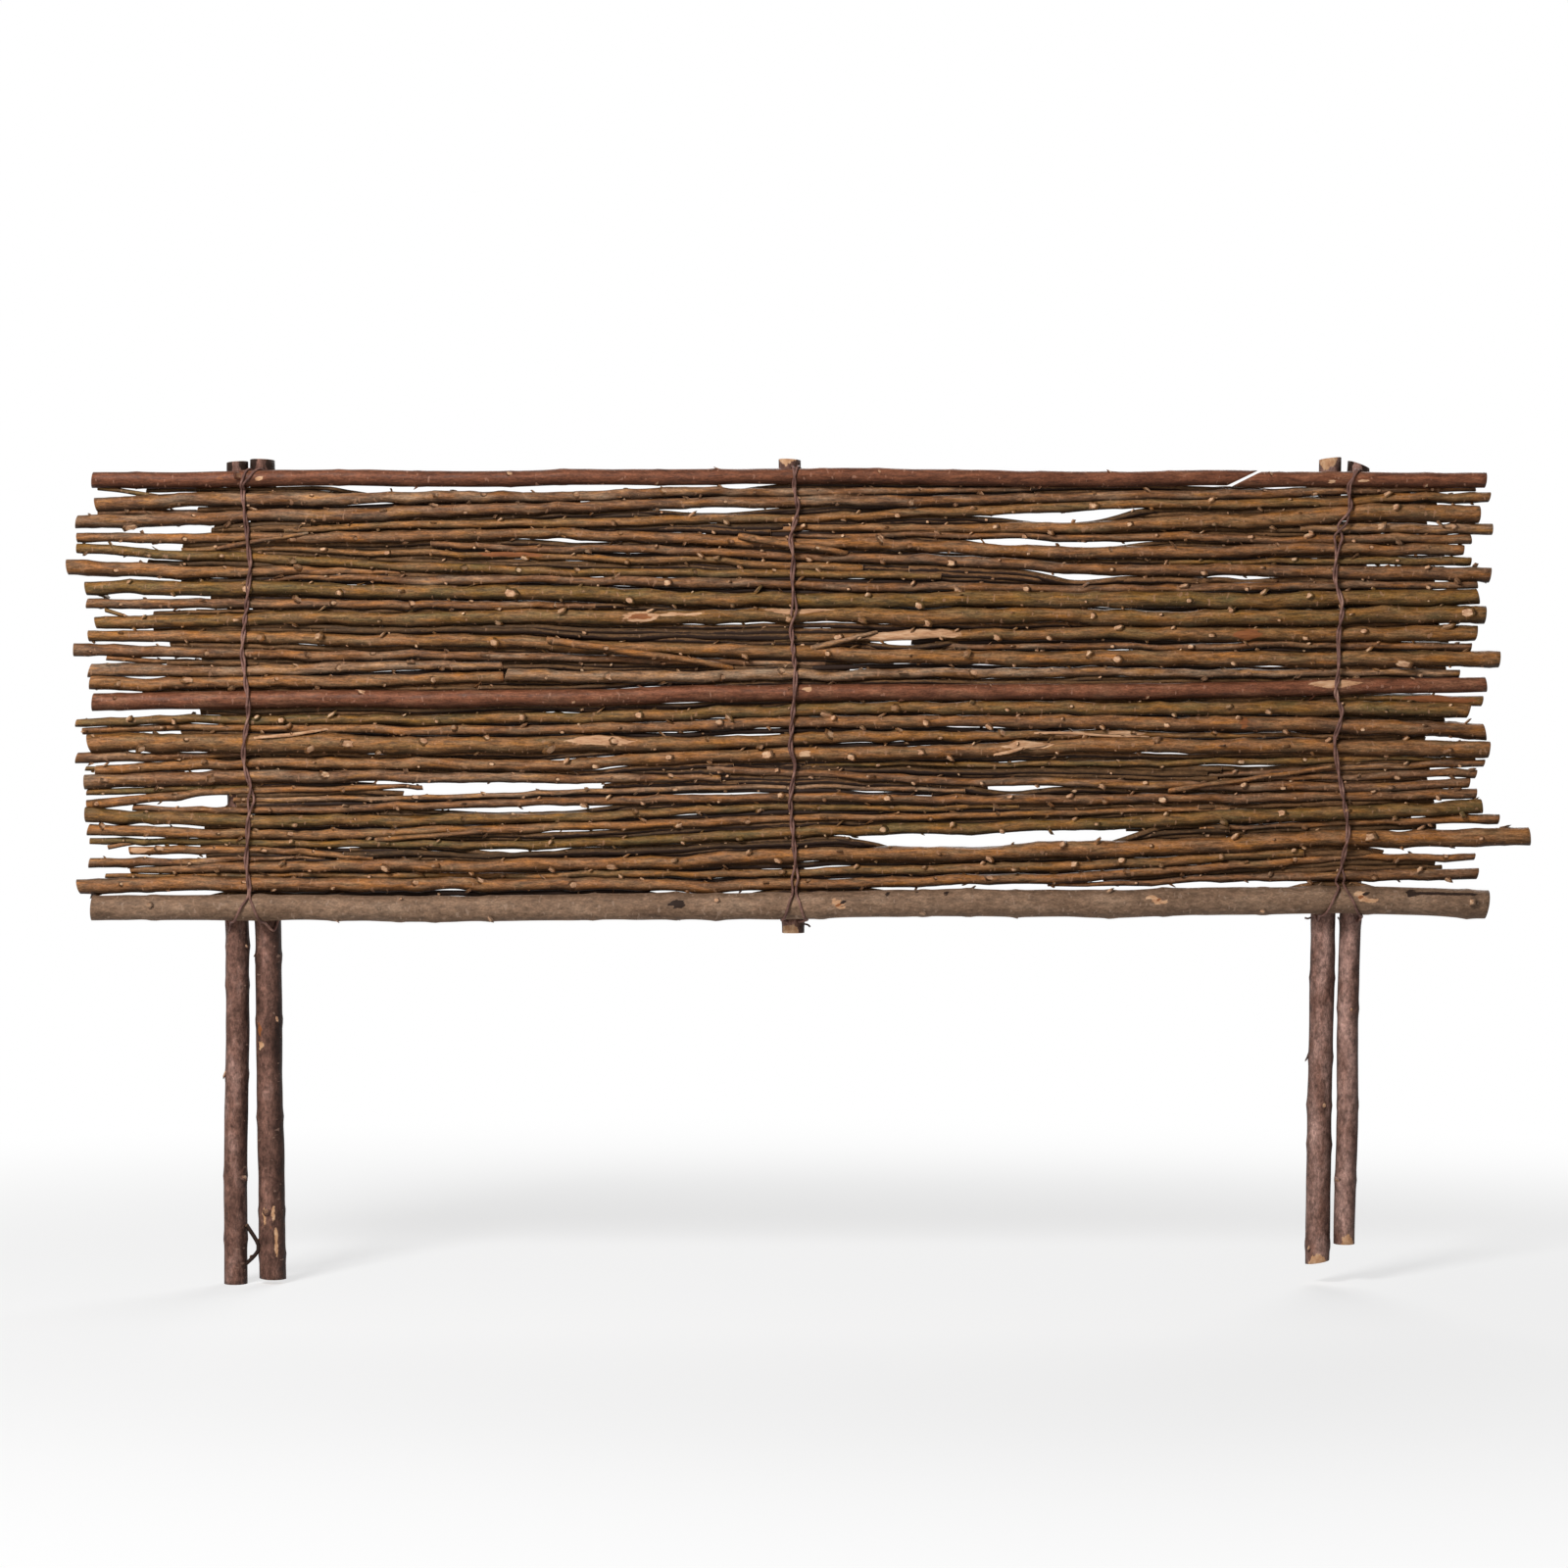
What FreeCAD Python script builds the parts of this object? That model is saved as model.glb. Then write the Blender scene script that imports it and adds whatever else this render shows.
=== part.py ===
import FreeCAD, Part
import math
import os
from collections import namedtuple

# A willow hurdle: round sticks laid one above the other in front of five posts,
# three stout rails among them, and a pair of wire strands tying each column of posts.
# Millimetres. X runs along the hurdle, the front faces -Y, Z is up.
# The origin lies at the foot of the middle post, on the ground line under the bottom rail.

# Main sizes: the distance between columns of posts, the heights of the rails' axes over the
# ground line, how far the posts rise over the top rail's axis, and the longest stake leg
POST_SPACING = 450.0
TOP_RAIL_HEIGHT = 362.0
MIDDLE_RAIL_HEIGHT = 186.0
BOTTOM_RAIL_HEIGHT = 13.0
POST_RISE = 15.0
LEG_LENGTH = 298.0
RAIL_OVERHANG_LEFT = 123.0
RAIL_OVERHANG_RIGHT = 114.0

# The even, round part of a leg starts this far below the ground line, and the middle post ends
# a little further down
LEG_START = 6.0
MIDDLE_POST_FOOT = 10.0

# Gaps between pieces that touch
SEAT_GAP = 0.15
ROD_GAP = 0.3
WIRE_GAP = 0.25

# Wire: thickness, the distance between the two strands of a column, and how far apart
# their ends stay behind the posts
WIRE_DIAMETER = 2.4
STRAND_SPACING = 3.0
WIRE_TAIL = 2.0

# Splice near the right end of the top rail: a slanted saw cut that stands a little open
SPLICE_FROM_POST = 83.0
SPLICE_LENGTH = 24.0
SPLICE_RISE = 12.0
SPLICE_GAP = 2.2

# The radius changes along one stretch of a stick by no more than this share of its length
STRETCH_TAPER = 0.004

# Rails: height of the axis, thickness at both ends, and how far the axis strays from that
# height at the left end, over the five stations and at the right end
Rail = namedtuple("Rail", "height left_diameter right_diameter stray")
TOP_RAIL = Rail(TOP_RAIL_HEIGHT, 13.4, 12.6, (-3.0, -1.0, 0.0, 1.5, 0.0, -1.0, -2.0))
MIDDLE_RAIL = Rail(MIDDLE_RAIL_HEIGHT, 14.6, 12.6, (-7.0, -5.0, -4.0, 1.0, 0.5, 5.0, 7.0))
BOTTOM_RAIL = Rail(BOTTOM_RAIL_HEIGHT, 20.4, 23.2, (-1.0, -2.5, -2.5, 0.5, 2.5, 4.5, 1.5))

# Columns of posts
COLUMNS = {"left": -POST_SPACING, "middle": 0.0, "right": POST_SPACING}

# Posts: column, distance from the column's middle at the ground line, lean to the right
# for each unit of height, thickness of the leg and of the top, height and length under ground
Post = namedtuple("Post", "column offset lean leg_diameter top_diameter height leg")
POST_HEIGHT = TOP_RAIL_HEIGHT + POST_RISE
POSTS = {
    "post_left_outer": Post("left", -7.5, 0.002, 19.2, 17.6, POST_HEIGHT - 1.0, LEG_LENGTH),
    "post_left_inner": Post("left", 18.0, -0.012, 21.6, 20.4, POST_HEIGHT + 1.0, LEG_LENGTH - 4.0),
    "post_middle": Post("middle", -1.5, -0.006, 18.4, 18.0, POST_HEIGHT + 1.0, MIDDLE_POST_FOOT),
    "post_right_inner": Post("right", -16.5, 0.016, 20.0, 18.4, POST_HEIGHT + 2.0, 0.94 * LEG_LENGTH),
    "post_right_outer": Post("right", 6.0, 0.018, 17.6, 18.0, POST_HEIGHT - 3.0, 0.89 * LEG_LENGTH),
}

# Where the wire runs down the front, from the middle of each column
WIRE_OFFSETS = {"left": 3.0, "middle": -1.0, "right": -5.0}

# Rods from top to bottom: both ends in thousandths of the post spacing from the middle,
# and in thousandths of the bay's height, from its lower rail to its upper rail, the thickness
# at both ends and the axis at the left end, at each station between the ends and at the right end
Rod = namedtuple("Rod", "left right left_share right_share heights")
UPPER_RODS = [
    Rod(-1268, 478, 67, 28, (898, 909, 907, 916, 938)),
    Rod(-1303, 1237, 61, 42, (791, 829, 860, 880, 911, 944, 947)),
    Rod(-926, 1262, 36, 51, (766, 780, 803, 868, 911, 914)),
    Rod(-73, 1241, 28, 90, (751, 756, 758, 866, 859)),
    Rod(919, 1266, 47, 54, (798, 788, 761)),
    Rod(-28, 1227, 25, 51, (723, 722, 726, 729, 708)),
    Rod(-1303, 1214, 44, 63, (751, 725, 751, 681, 651, 657, 660)),
    Rod(674, 1228, 32, 42, (609, 619, 613)),
    Rod(-660, 1262, 28, 69, (711, 680, 631, 582, 551, 545)),
    Rod(-1113, 123, 25, 40, (701, 679, 640, 597, 588)),
    Rod(-1303, 265, 44, 37, (702, 639, 584, 541, 540)),
    Rod(-1319, -677, 72, 33, (600, 585, 569)),
    Rod(-971, 1239, 50, 42, (527, 524, 493, 477, 489, 503)),
    Rod(-1287, 1239, 61, 81, (520, 503, 462, 423, 420, 421, 429)),
    Rod(-1285, -309, 44, 42, (440, 435, 424, 408)),
    Rod(-1269, 1252, 56, 84, (351, 368, 369, 351, 352, 337, 345)),
    Rod(-37, 1236, 40, 78, (244, 256, 269, 252, 247)),
    Rod(256, 1228, 28, 48, (226, 210, 198, 190)),
    Rod(-1282, 1278, 50, 78, (302, 279, 253, 170, 160, 132, 124)),
    Rod(-1308, 55, 56, 28, (231, 209, 189, 111, 104)),
    Rod(-1280, -532, 61, 39, (138, 135, 165)),
    Rod(-1278, -530, 61, 50, (84, 78, 96)),
    Rod(-523, 1207, 58, 39, (94, 91, 84, 91, 66, 74)),
]
LOWER_RODS = [
    Rod(949, 1248, 20, 50, (954, 952, 953)),
    Rod(-1305, 1223, 42, 70, (900, 883, 895, 910, 911, 905, 898)),
    Rod(-1294, 1252, 36, 73, (856, 833, 842, 859, 855, 822, 778)),
    Rod(-1280, 985, 108, 23, (785, 770, 774, 776, 803, 774)),
    Rod(-1303, -926, 54, 21, (720, 719, 720)),
    Rod(-1269, 1259, 51, 73, (646, 685, 683, 698, 747, 716, 709)),
    Rod(-28, 1236, 20, 39, (662, 661, 653, 665, 664)),
    Rod(718, 1252, 29, 34, (556, 619, 637)),
    Rod(852, 1237, 29, 39, (565, 568, 605)),
    Rod(-158, 1225, 38, 45, (636, 617, 560, 520, 542)),
    Rod(-1289, -135, 72, 35, (608, 624, 620, 607)),
    Rod(-1285, -953, 48, 21, (565, 582, 586)),
    Rod(-1285, -677, 48, 23, (512, 556, 589)),
    Rod(-1019, 309, 29, 23, (509, 512, 545, 559, 547)),
    Rod(-1202, 1237, 36, 48, (460, 451, 504, 499, 494, 480, 498)),
    Rod(-1287, 407, 72, 23, (445, 399, 415, 457, 481)),
    Rod(-1282, 789, 54, 26, (373, 333, 382, 402, 424, 432)),
    Rod(-1280, 1246, 30, 67, (323, 305, 294, 337, 368, 413, 439)),
    Rod(736, 1278, 20, 45, (339, 356, 381)),
    Rod(-1207, -766, 42, 29, (264, 270, 234)),
    Rod(-1280, -855, 48, 20, (215, 232, 220)),
    Rod(-1207, 1332, 48, 84, (164, 183, 200, 222, 251, 289, 309)),
    Rod(-1253, 923, 24, 52, (154, 150, 149, 148, 171, 233)),
    Rod(-1300, 1234, 75, 34, (96, 110, 107, 90, 105, 180, 214)),
    Rod(460, 1239, 20, 56, (88, 87, 122, 143)),
]

# Stations: the three columns of posts and the middle of both spans
STATIONS = [POST_SPACING * share for share in (-1.0, -0.5, 0.0, 0.5, 1.0)]
WIRE_RADIUS = WIRE_DIAMETER / 2


class Stick:
    """A round stick of straight stretches, its back on the plane that touches the posts."""

    def __init__(self, xs, zs, left_diameter, right_diameter):
        self.xs = xs
        self.zs = zs
        taper = (right_diameter - left_diameter) / (xs[-1] - xs[0])
        self.radii = [(left_diameter + taper * (x - xs[0])) / 2 for x in xs]

    def between(self, values, x):
        """Value at x on the straight line between the points on both sides of it."""
        if x <= self.xs[0]:
            return values[0]
        for left in range(len(self.xs) - 1):
            if x <= self.xs[left + 1]:
                share = (x - self.xs[left]) / (self.xs[left + 1] - self.xs[left])
                return values[left] + share * (values[left + 1] - values[left])
        return values[-1]

    def height(self, x):
        return self.between(self.zs, x)

    def radius(self, x):
        return self.between(self.radii, x)

    def reaches(self, x):
        return self.xs[0] <= x <= self.xs[-1]

    def clear_of(self, other, x):
        """Least distance between the axes of two neighbours at x."""
        return self.radius(x) + other.radius(x) + ROD_GAP

    def ring(self, x):
        """The round outline at x, upright and square to the hurdle's length."""
        middle = FreeCAD.Vector(x, -(self.radius(x) + SEAT_GAP), self.height(x))
        return Part.Wire(Part.makeCircle(self.radius(x), middle, FreeCAD.Vector(1, 0, 0)))

    def solid(self, more_places=()):
        """The stick as a row of short cones, with a ring at each point and at more places."""
        most = STRETCH_TAPER * (self.xs[-1] - self.xs[0])
        places = self.xs[:1] + list(more_places)
        for left, right in zip(self.xs, self.xs[1:]):
            steps = math.ceil(abs(self.radius(right) - self.radius(left)) / most) or 1
            places += [left + (right - left) * step / steps for step in range(1, steps + 1)]
        return Part.makeLoft([self.ring(x) for x in sorted(places)], True, True)


def make_rail(rail):
    """A rail that runs past both outer columns."""
    left = STATIONS[0] - RAIL_OVERHANG_LEFT
    right = STATIONS[-1] + RAIL_OVERHANG_RIGHT
    heights = [rail.height + stray for stray in rail.stray]
    return Stick([left] + STATIONS + [right], heights, rail.left_diameter, rail.right_diameter)


def make_rod(rod, lower, upper):
    """A rod between two rails, as drawn, before it is settled among its neighbours."""
    left = POST_SPACING * rod.left / 1000
    right = POST_SPACING * rod.right / 1000
    xs = [left] + [x for x in STATIONS if left < x < right] + [right]
    bays = [(upper.height(x) - lower.height(x)) / 1000 for x in xs]
    zs = [lower.height(x) + bay * share for x, bay, share in zip(xs, bays, rod.heights)]
    return Stick(xs, zs, rod.left_share * bays[0], rod.right_share * bays[-1])


def squeeze(present, x):
    """Thin the rods at one station where the bay is too low for them."""
    lower, *rods, upper = present
    room = upper.height(x) - upper.radius(x) - lower.height(x) - lower.radius(x)
    room -= ROD_GAP * (len(rods) + 1)
    share = min(1.0, room / sum(2 * rod.radius(x) for rod in rods))
    for rod in rods:
        rod.radii[rod.xs.index(x)] *= share


def settle_station(stack, x):
    """Move the rods at one station until none overlaps its neighbours; the rails stay."""
    present = [stick for stick in stack if stick.reaches(x)]
    squeeze(present, x)
    for below, rod in zip(present[:-2], present[1:-1]):
        least = below.height(x) + rod.clear_of(below, x)
        place = rod.xs.index(x)
        rod.zs[place] = max(rod.zs[place], least)
    for above, rod in zip(present[:1:-1], present[-2:0:-1]):
        most = above.height(x) - rod.clear_of(above, x)
        place = rod.xs.index(x)
        rod.zs[place] = min(rod.zs[place], most)


def settle_end(stack, rod, end):
    """Fit a rod's free end into the space that its neighbours leave there."""
    x = rod.xs[end]
    place = stack.index(rod)
    below = next((stick for stick in stack[place - 1::-1] if stick.reaches(x)), stack[0])
    above = next((stick for stick in stack[place + 1:] if stick.reaches(x)), stack[-1])
    floor = below.height(x) + below.radius(x) + ROD_GAP
    ceiling = above.height(x) - above.radius(x) - ROD_GAP
    radius = min(rod.radii[end], (ceiling - floor) / 2)
    rod.radii[end] = radius
    rod.zs[end] = min(max(rod.zs[end], floor + radius), ceiling - radius)


def fill_bay(rods, lower, upper):
    """The rods of one bay, from top to bottom, settled between its two rails."""
    sticks = [make_rod(rod, lower, upper) for rod in rods]
    stack = [lower] + sticks[::-1] + [upper]
    for x in STATIONS:
        settle_station(stack, x)
    for rod in sticks + sticks[::-1]:
        settle_end(stack, rod, 0)
        settle_end(stack, rod, -1)
    return sticks


def post_solid(post):
    """A post whose front touches the plane y = 0: an even leg and a tapered upper part."""
    leg_radius = post.leg_diameter / 2
    top_radius = post.top_diameter / 2
    foot = FreeCAD.Vector(0, leg_radius, -LEG_START)
    tip = FreeCAD.Vector(0, top_radius, post.height)
    leg = Part.makeCylinder(leg_radius, post.leg - LEG_START, foot, FreeCAD.Vector(0, 0, -1))
    rings = [Part.Wire(Part.makeCircle(leg_radius, foot)), Part.Wire(Part.makeCircle(top_radius, tip))]
    solid = leg.fuse(Part.makeLoft(rings, True, True))
    solid.rotate(FreeCAD.Vector(), FreeCAD.Vector(0, 1, 0), math.degrees(math.atan(post.lean)))
    solid.translate(FreeCAD.Vector(COLUMNS[post.column] + post.offset, 0, 0))
    return solid


def post_sides(column, z):
    """Left side, right side and back of the posts of a column at height z."""
    lefts = []
    rights = []
    backs = []
    for post in POSTS.values():
        if post.column == column:
            middle = COLUMNS[column] + post.offset + post.lean * z
            radius = max(post.leg_diameter, post.top_diameter) / 2
            lefts.append(middle - radius)
            rights.append(middle + radius)
            backs.append(2 * radius)
    return min(lefts), max(rights), max(backs)


def front_of(stick, x):
    """How far in front of the posts a strand lies where it crosses a stick."""
    return 2 * stick.radius(x) + SEAT_GAP + WIRE_GAP + WIRE_RADIUS


def taut(points):
    """The points (height, distance to the front) that a strand pulled tight touches."""
    touched = []
    for z, front in points:
        while len(touched) > 1:
            (z_first, front_first), (z_last, front_last) = touched[-2:]
            rise = (front_last - front_first) * (z_first - z)
            if rise > (front - front_first) * (z_first - z_last):
                break
            touched.pop()
        touched.append((z, front))
    return touched


def loop_corners(column, x, side, rail, up):
    """Corners of a strand's loop over (up 1) or under (up -1) a rail, from behind the posts."""
    reach = WIRE_RADIUS + WIRE_GAP
    left, right, back = post_sides(column, rail.height(x))
    x_side = left - reach if side < 0 else right + reach
    edges = [rail.height(place) + up * rail.radius(place) for place in (x, x_side)]
    z = up * (max(up * edge for edge in edges) + reach)
    front = max(front_of(rail, place) for place in (x, x_side))
    return [FreeCAD.Vector(x + side * WIRE_TAIL, back + reach, z),
            FreeCAD.Vector(x_side, back + reach, z),
            FreeCAD.Vector(x_side, -front, z)]


def strand_points(column, x, side, sticks, top, bottom):
    """Corners of one strand: round the posts over the top rail, down the front, and back below."""
    reach = WIRE_RADIUS + WIRE_GAP
    crossed = [stick for stick in sticks if stick.reaches(x)]
    crossed.sort(key=lambda stick: -stick.height(x))
    tie_in = (bottom.height(x) + bottom.radius(x) + reach, front_of(crossed[-1], x))
    down = [(top.height(x) - top.radius(x), front_of(top, x))]
    down += [(stick.height(x), front_of(stick, x)) for stick in crossed]
    run = taut(down + [tie_in])
    run += [(tie_in[0], front_of(bottom, x)), (bottom.height(x), front_of(bottom, x))]
    points = [FreeCAD.Vector(x, -front, z) for z, front in run]

    over = loop_corners(column, x, side, top, 1)
    under = loop_corners(column, x, side, bottom, -1)
    return over + points + under[::-1]


def tube(points):
    """A round wire of straight stretches that meet in a ball at each bend."""
    pieces = [Part.makeSphere(WIRE_RADIUS, bend) for bend in points[1:-1]]
    for start, end in zip(points, points[1:]):
        way = end - start
        pieces.append(Part.makeCylinder(WIRE_RADIUS, way.Length, start, way))
    return pieces[0].multiFuse(pieces[1:]).Solids[0]


def wire_solids(column, sticks, top, bottom):
    """The two strands that tie one column of posts."""
    strands = []
    for side in (-1, 1):
        x = COLUMNS[column] + WIRE_OFFSETS[column] + side * STRAND_SPACING / 2
        strands.append(tube(strand_points(column, x, side, sticks, top, bottom)))
    return Part.makeCompound(strands)


def splice(top):
    """The top rail in two pieces, parted by the slanted saw cut."""
    x = STATIONS[-1] - SPLICE_FROM_POST
    slope = math.degrees(math.atan2(SPLICE_RISE, SPLICE_LENGTH))
    length = 4 * SPLICE_LENGTH
    depth = 4 * top.radius(x)
    cutter = Part.makeBox(length, depth, SPLICE_GAP, FreeCAD.Vector(-length / 2, -depth, -SPLICE_GAP / 2))
    cutter.rotate(FreeCAD.Vector(), FreeCAD.Vector(0, 1, 0), -slope)
    cutter.translate(FreeCAD.Vector(x, 0, top.height(x)))
    pieces = top.solid((x - SPLICE_LENGTH, x + SPLICE_LENGTH)).cut(cutter).Solids
    return sorted(pieces, key=lambda piece: piece.CenterOfMass.x)


def make_parts():
    """Every piece of the hurdle by name."""
    top = make_rail(TOP_RAIL)
    middle = make_rail(MIDDLE_RAIL)
    bottom = make_rail(BOTTOM_RAIL)
    upper = fill_bay(UPPER_RODS, middle, top)
    lower = fill_bay(LOWER_RODS, bottom, middle)

    parts = {name: post_solid(post) for name, post in POSTS.items()}
    parts["top_rail"], parts["top_rail_end"] = splice(top)
    parts["middle_rail"] = middle.solid()
    parts["bottom_rail"] = bottom.solid()
    for word, rods in (("upper", upper), ("lower", lower)):
        for number, rod in enumerate(rods, 1):
            parts[f"{word}_rod_{number:02d}"] = rod.solid()
    for column in COLUMNS:
        parts[f"wire_{column}"] = wire_solids(column, upper + [middle] + lower, top, bottom)
    return parts


os.makedirs("parts", exist_ok=True)
for name, shape in make_parts().items():
    shape.exportStep(f"parts/{name}.step")
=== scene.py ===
import math
from collections import namedtuple

import bpy
import numpy as np
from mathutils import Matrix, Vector


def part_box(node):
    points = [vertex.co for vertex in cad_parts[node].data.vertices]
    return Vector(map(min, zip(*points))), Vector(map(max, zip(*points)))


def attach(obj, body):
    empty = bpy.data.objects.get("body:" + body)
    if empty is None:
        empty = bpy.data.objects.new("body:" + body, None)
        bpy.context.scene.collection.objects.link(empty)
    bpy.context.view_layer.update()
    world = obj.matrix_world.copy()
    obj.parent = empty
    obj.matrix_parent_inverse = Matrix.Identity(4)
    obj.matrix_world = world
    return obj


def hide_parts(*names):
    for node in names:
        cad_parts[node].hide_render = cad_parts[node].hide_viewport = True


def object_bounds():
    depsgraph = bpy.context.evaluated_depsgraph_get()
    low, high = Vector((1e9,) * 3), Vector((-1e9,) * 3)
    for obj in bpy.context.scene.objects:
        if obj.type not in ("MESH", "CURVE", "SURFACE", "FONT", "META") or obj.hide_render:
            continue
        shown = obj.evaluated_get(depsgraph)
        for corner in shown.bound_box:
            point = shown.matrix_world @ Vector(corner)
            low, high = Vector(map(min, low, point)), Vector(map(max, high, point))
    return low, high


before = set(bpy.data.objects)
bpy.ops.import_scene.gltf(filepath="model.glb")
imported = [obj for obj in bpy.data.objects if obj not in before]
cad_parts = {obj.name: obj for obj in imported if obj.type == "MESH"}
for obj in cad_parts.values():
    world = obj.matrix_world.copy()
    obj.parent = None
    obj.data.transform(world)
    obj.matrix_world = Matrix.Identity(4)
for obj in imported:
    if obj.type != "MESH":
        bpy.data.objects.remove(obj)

# The willow hurdle as it looks: barked rods with trimmed side shoots, stouter rails and posts,
# thin twigs in the crevices behind the rods, and the twisted wire that ties the three columns.
# Lengths in this file are millimetres in the frame of the CAD model, until a mesh is made.
CAD_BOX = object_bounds()
MILLIMETRE = 0.001
SEED = 1392
X, Y, Z = 0, 1, 2
COLUMNS = {"left": -450.0, "middle": 0.0, "right": 450.0}

# Tube meshes: distance between rings and number of sides
RING_STEP = 4.0
ROD_SIDES = 16
RAIL_SIDES = 28
TWIG_SIDES = 10
WIRE_SIDES = 10
KNOB_SIDES = 8

# Bends of the straight CAD stretches are eased over about this length
EASE = 22.0

# Crevice twigs lie between these places, and run on behind their neighbours by this much
TWIG_REACH = (-548.0, 540.0)
TWIG_INNER = (-455.0, 470.0)
TWIG_TUCK = 22.0
# Height of crevice that one twig fills, and the least and greatest radius of a twig there
TWIG_FILL = 4.4
TWIG_RADII = (1.2, 3.2)
# Rods that overlap by less than this, or stand apart, get a twig behind them
TIGHT = -0.9

# Wire strands: radius, the length of one full twist, and how far a strand stays off a rail's mean surface
STRAND_RADIUS = 1.02
TWIST_LENGTH = 38.0
RAIL_CLEARANCE = 0.5

# Painted light: the painted highlight round a lying stick faces this many degrees up, that round a post so
# many to the left; painted shade lies on the sides between
PAINTED_LIGHT_UP = 22.0
PAINTED_LIGHT_LEFT = 18.0

# Share of the stumps on the rods that are left as longer spurs, and how pale the cuts of stumps are
SPUR_SHARE = 0.22
KNOB_PALENESS = (1.0, 1.0, 0.85, 0.7, 0.5)

# Splice of the top rail: how far the saw cut runs along for each unit of height, and half its opening
SPLICE_SLANT = 2.0
SPLICE_HALF = 1.5

# Marks on the bark: kind, where it starts and ends along the stick, the direction round the stick
# it faces (0 front, 90 up) and how far it spreads to each side of that, in degrees
Mark = namedtuple("Mark", "kind start end facing spread")
# How steeply a mark gains strength from its edge to its middle
MARK_STEEPNESS = 2.2


def star_scar(place, facing):
    """Marks of a small torn scar with a rusty middle, where a twig was pulled off."""
    return [
        Mark("peel", place - 8, place + 1, facing + 13, 9),
        Mark("peel", place - 1, place + 8, facing - 13, 10),
        Mark("peel", place - 4, place + 3, facing, 26),
        Mark("rust", place - 2, place + 4, facing - 2, 9),
        Mark("dark", place + 2, place + 6, facing + 4, 9),
    ]


MARKS = {
    "upper_rod_10": [Mark("rust", -265, -200, 20, 70)],
    "upper_rod_16": [Mark("peel", -144, -108, 8, 62), Mark("rust", -137, -115, 8, 30),
                     Mark("peel", -112, -74, 22, 24), Mark("peel", -32, 36, 40, 45)],
    "upper_rod_17": [Mark("peel", 38, 144, 12, 105), Mark("rust", 355, 383, 0, 60)],
    "lower_rod_01": [Mark("rust", 491, 562, 10, 80)],
    "lower_rod_03": [Mark("rust", 362, 372, 10, 60)],
    "lower_rod_04": [Mark("peel", -191, -127, 20, 50), Mark("peel", 207, 239, 15, 45),
                     Mark("peel", 251, 291, 15, 50)],
    "lower_rod_06": [Mark("peel", 167, 215, 20, 45), Mark("peel", 4, 12, 0, 45)],
    "lower_rod_20": [Mark("peel", -545, -525, 10, 60)],
    "top_rail": [Mark("peel", -442, -433, -8, 20), Mark("rust", -472, -463, 4, 14)],
    "top_rail_end": [Mark("peel", 434, 442, -26, 16), Mark("peel", 459, 470, -14, 12)],
    "middle_rail": [Mark("peel", 415, 467, 25, 40), Mark("peel", 6, 15, 25, 30)],
    "bottom_rail": [Mark("dark", -103, -88, 15, 28), Mark("dark", 495, 507, 40, 25),
                    Mark("dark", 73, 77, 45, 12), Mark("dark", 99, 103, 48, 12),
                    Mark("dark", 122, 126, 48, 12), *star_scar(35, 6), *star_scar(294, 14),
                    *star_scar(460, 18), Mark("peel", 465, 475, 2, 9), Mark("dark", 496, 562, 39, 5)],
    "post_left_inner": [Mark("peel", -107, -97, 33, 14), Mark("rust", -96, -84, 38, 16),
                        Mark("dark", 362, 390, -70, 62), Mark("dark", 362, 388, 60, 48),
                        Mark("peel", -262, -222, 22, 6), Mark("peel", -252, -226, -10, 5),
                        Mark("peel", -280, -246, -24, 5), Mark("rust", -274, -230, 6, 7)],
    "post_left_outer": [Mark("dark", 362, 390, -60, 62), Mark("dark", 360, 384, 50, 40)],
    "post_middle": [Mark("peel", 372, 392, 20, 90), Mark("peel", -16, -2, 20, 70)],
    "post_right_inner": [Mark("peel", 368, 392, 30, 80), Mark("peel", -291, -271, 8, 62)],
    "post_right_outer": [Mark("dark", 362, 394, 75, 55), Mark("dark", 362, 390, -30, 30),
                         Mark("peel", -277, -255, -12, 55)],
}

# Openings between the rods that show the background: start, end, lowest and highest point, and
# how far the twigs behind the rods leave them open, from 0 to 1
OPENINGS = (
    (-385, -13, 348, 356, 1.0), (-121, -17, 332, 338, 0.6), (-299, -169, 310, 316, 0.5),
    (-213, -121, 305, 311, 0.5), (-369, -129, 105, 113, 0.75), (-297, -137, 84, 92, 0.6),
    (-265, -169, 49, 55, 0.5), (47, 295, 57, 71, 1.0), (-561, -465, 20, 26, 1.0),
    (-121, -17, 20, 25, 1.0), (63, 423, 26, 33, 1.0), (462, 570, 52, 63, 1.0),
    (462, 570, 20, 33, 1.0), (152, 289, 322, 335, 0.7), (120, 291, 301, 312, 0.9),
    (184, 282, 273, 283, 0.55), (334, 402, 273, 283, 0.5), (389, 426, 349, 355, 1.0),
    (61, 125, 218, 227, 0.5), (346, 402, 203, 210, 0.5), (376, 427, 171, 181, 0.6),
    (142, 214, 97, 107, 0.7), (39, 90, 102, 107, 0.5), (99, 154, 135, 141, 0.5),
    (338, 402, 118, 127, 0.45),
)

# Where the wire runs down the front: height, and distance to the right of its column
WIRE_COURSES = {
    "left": ((352, -0.5), (320, 2.8), (288, 6.0), (256, 2.8), (220, -1.2), (192, 2.8), (181, 5.2),
             (146, 2.0), (130, 0.4), (108, 6.8), (80, 4.4), (48, 2.0), (26, 6.0)),
    "middle": ((354, -0.8), (336, 3.2), (312, -4.0), (296, -0.8), (280, -2.4), (256, 0.0), (240, -3.2),
               (200, 0.8), (140, -4.0), (128, 0.8), (100, -4.0), (64, -0.8), (44, 0.8), (28, -0.5)),
    "right": ((352, 2.0), (336, 3.0), (320, -6.0), (304, -7.6), (280, -10.0), (256, -3.6), (236, -7.0),
              (200, -6.8), (188, -10.0), (170, -3.6), (146, -10.8), (112, -4.4), (76, 1.2), (44, -3.6),
              (30, -5.5)),
}
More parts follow.
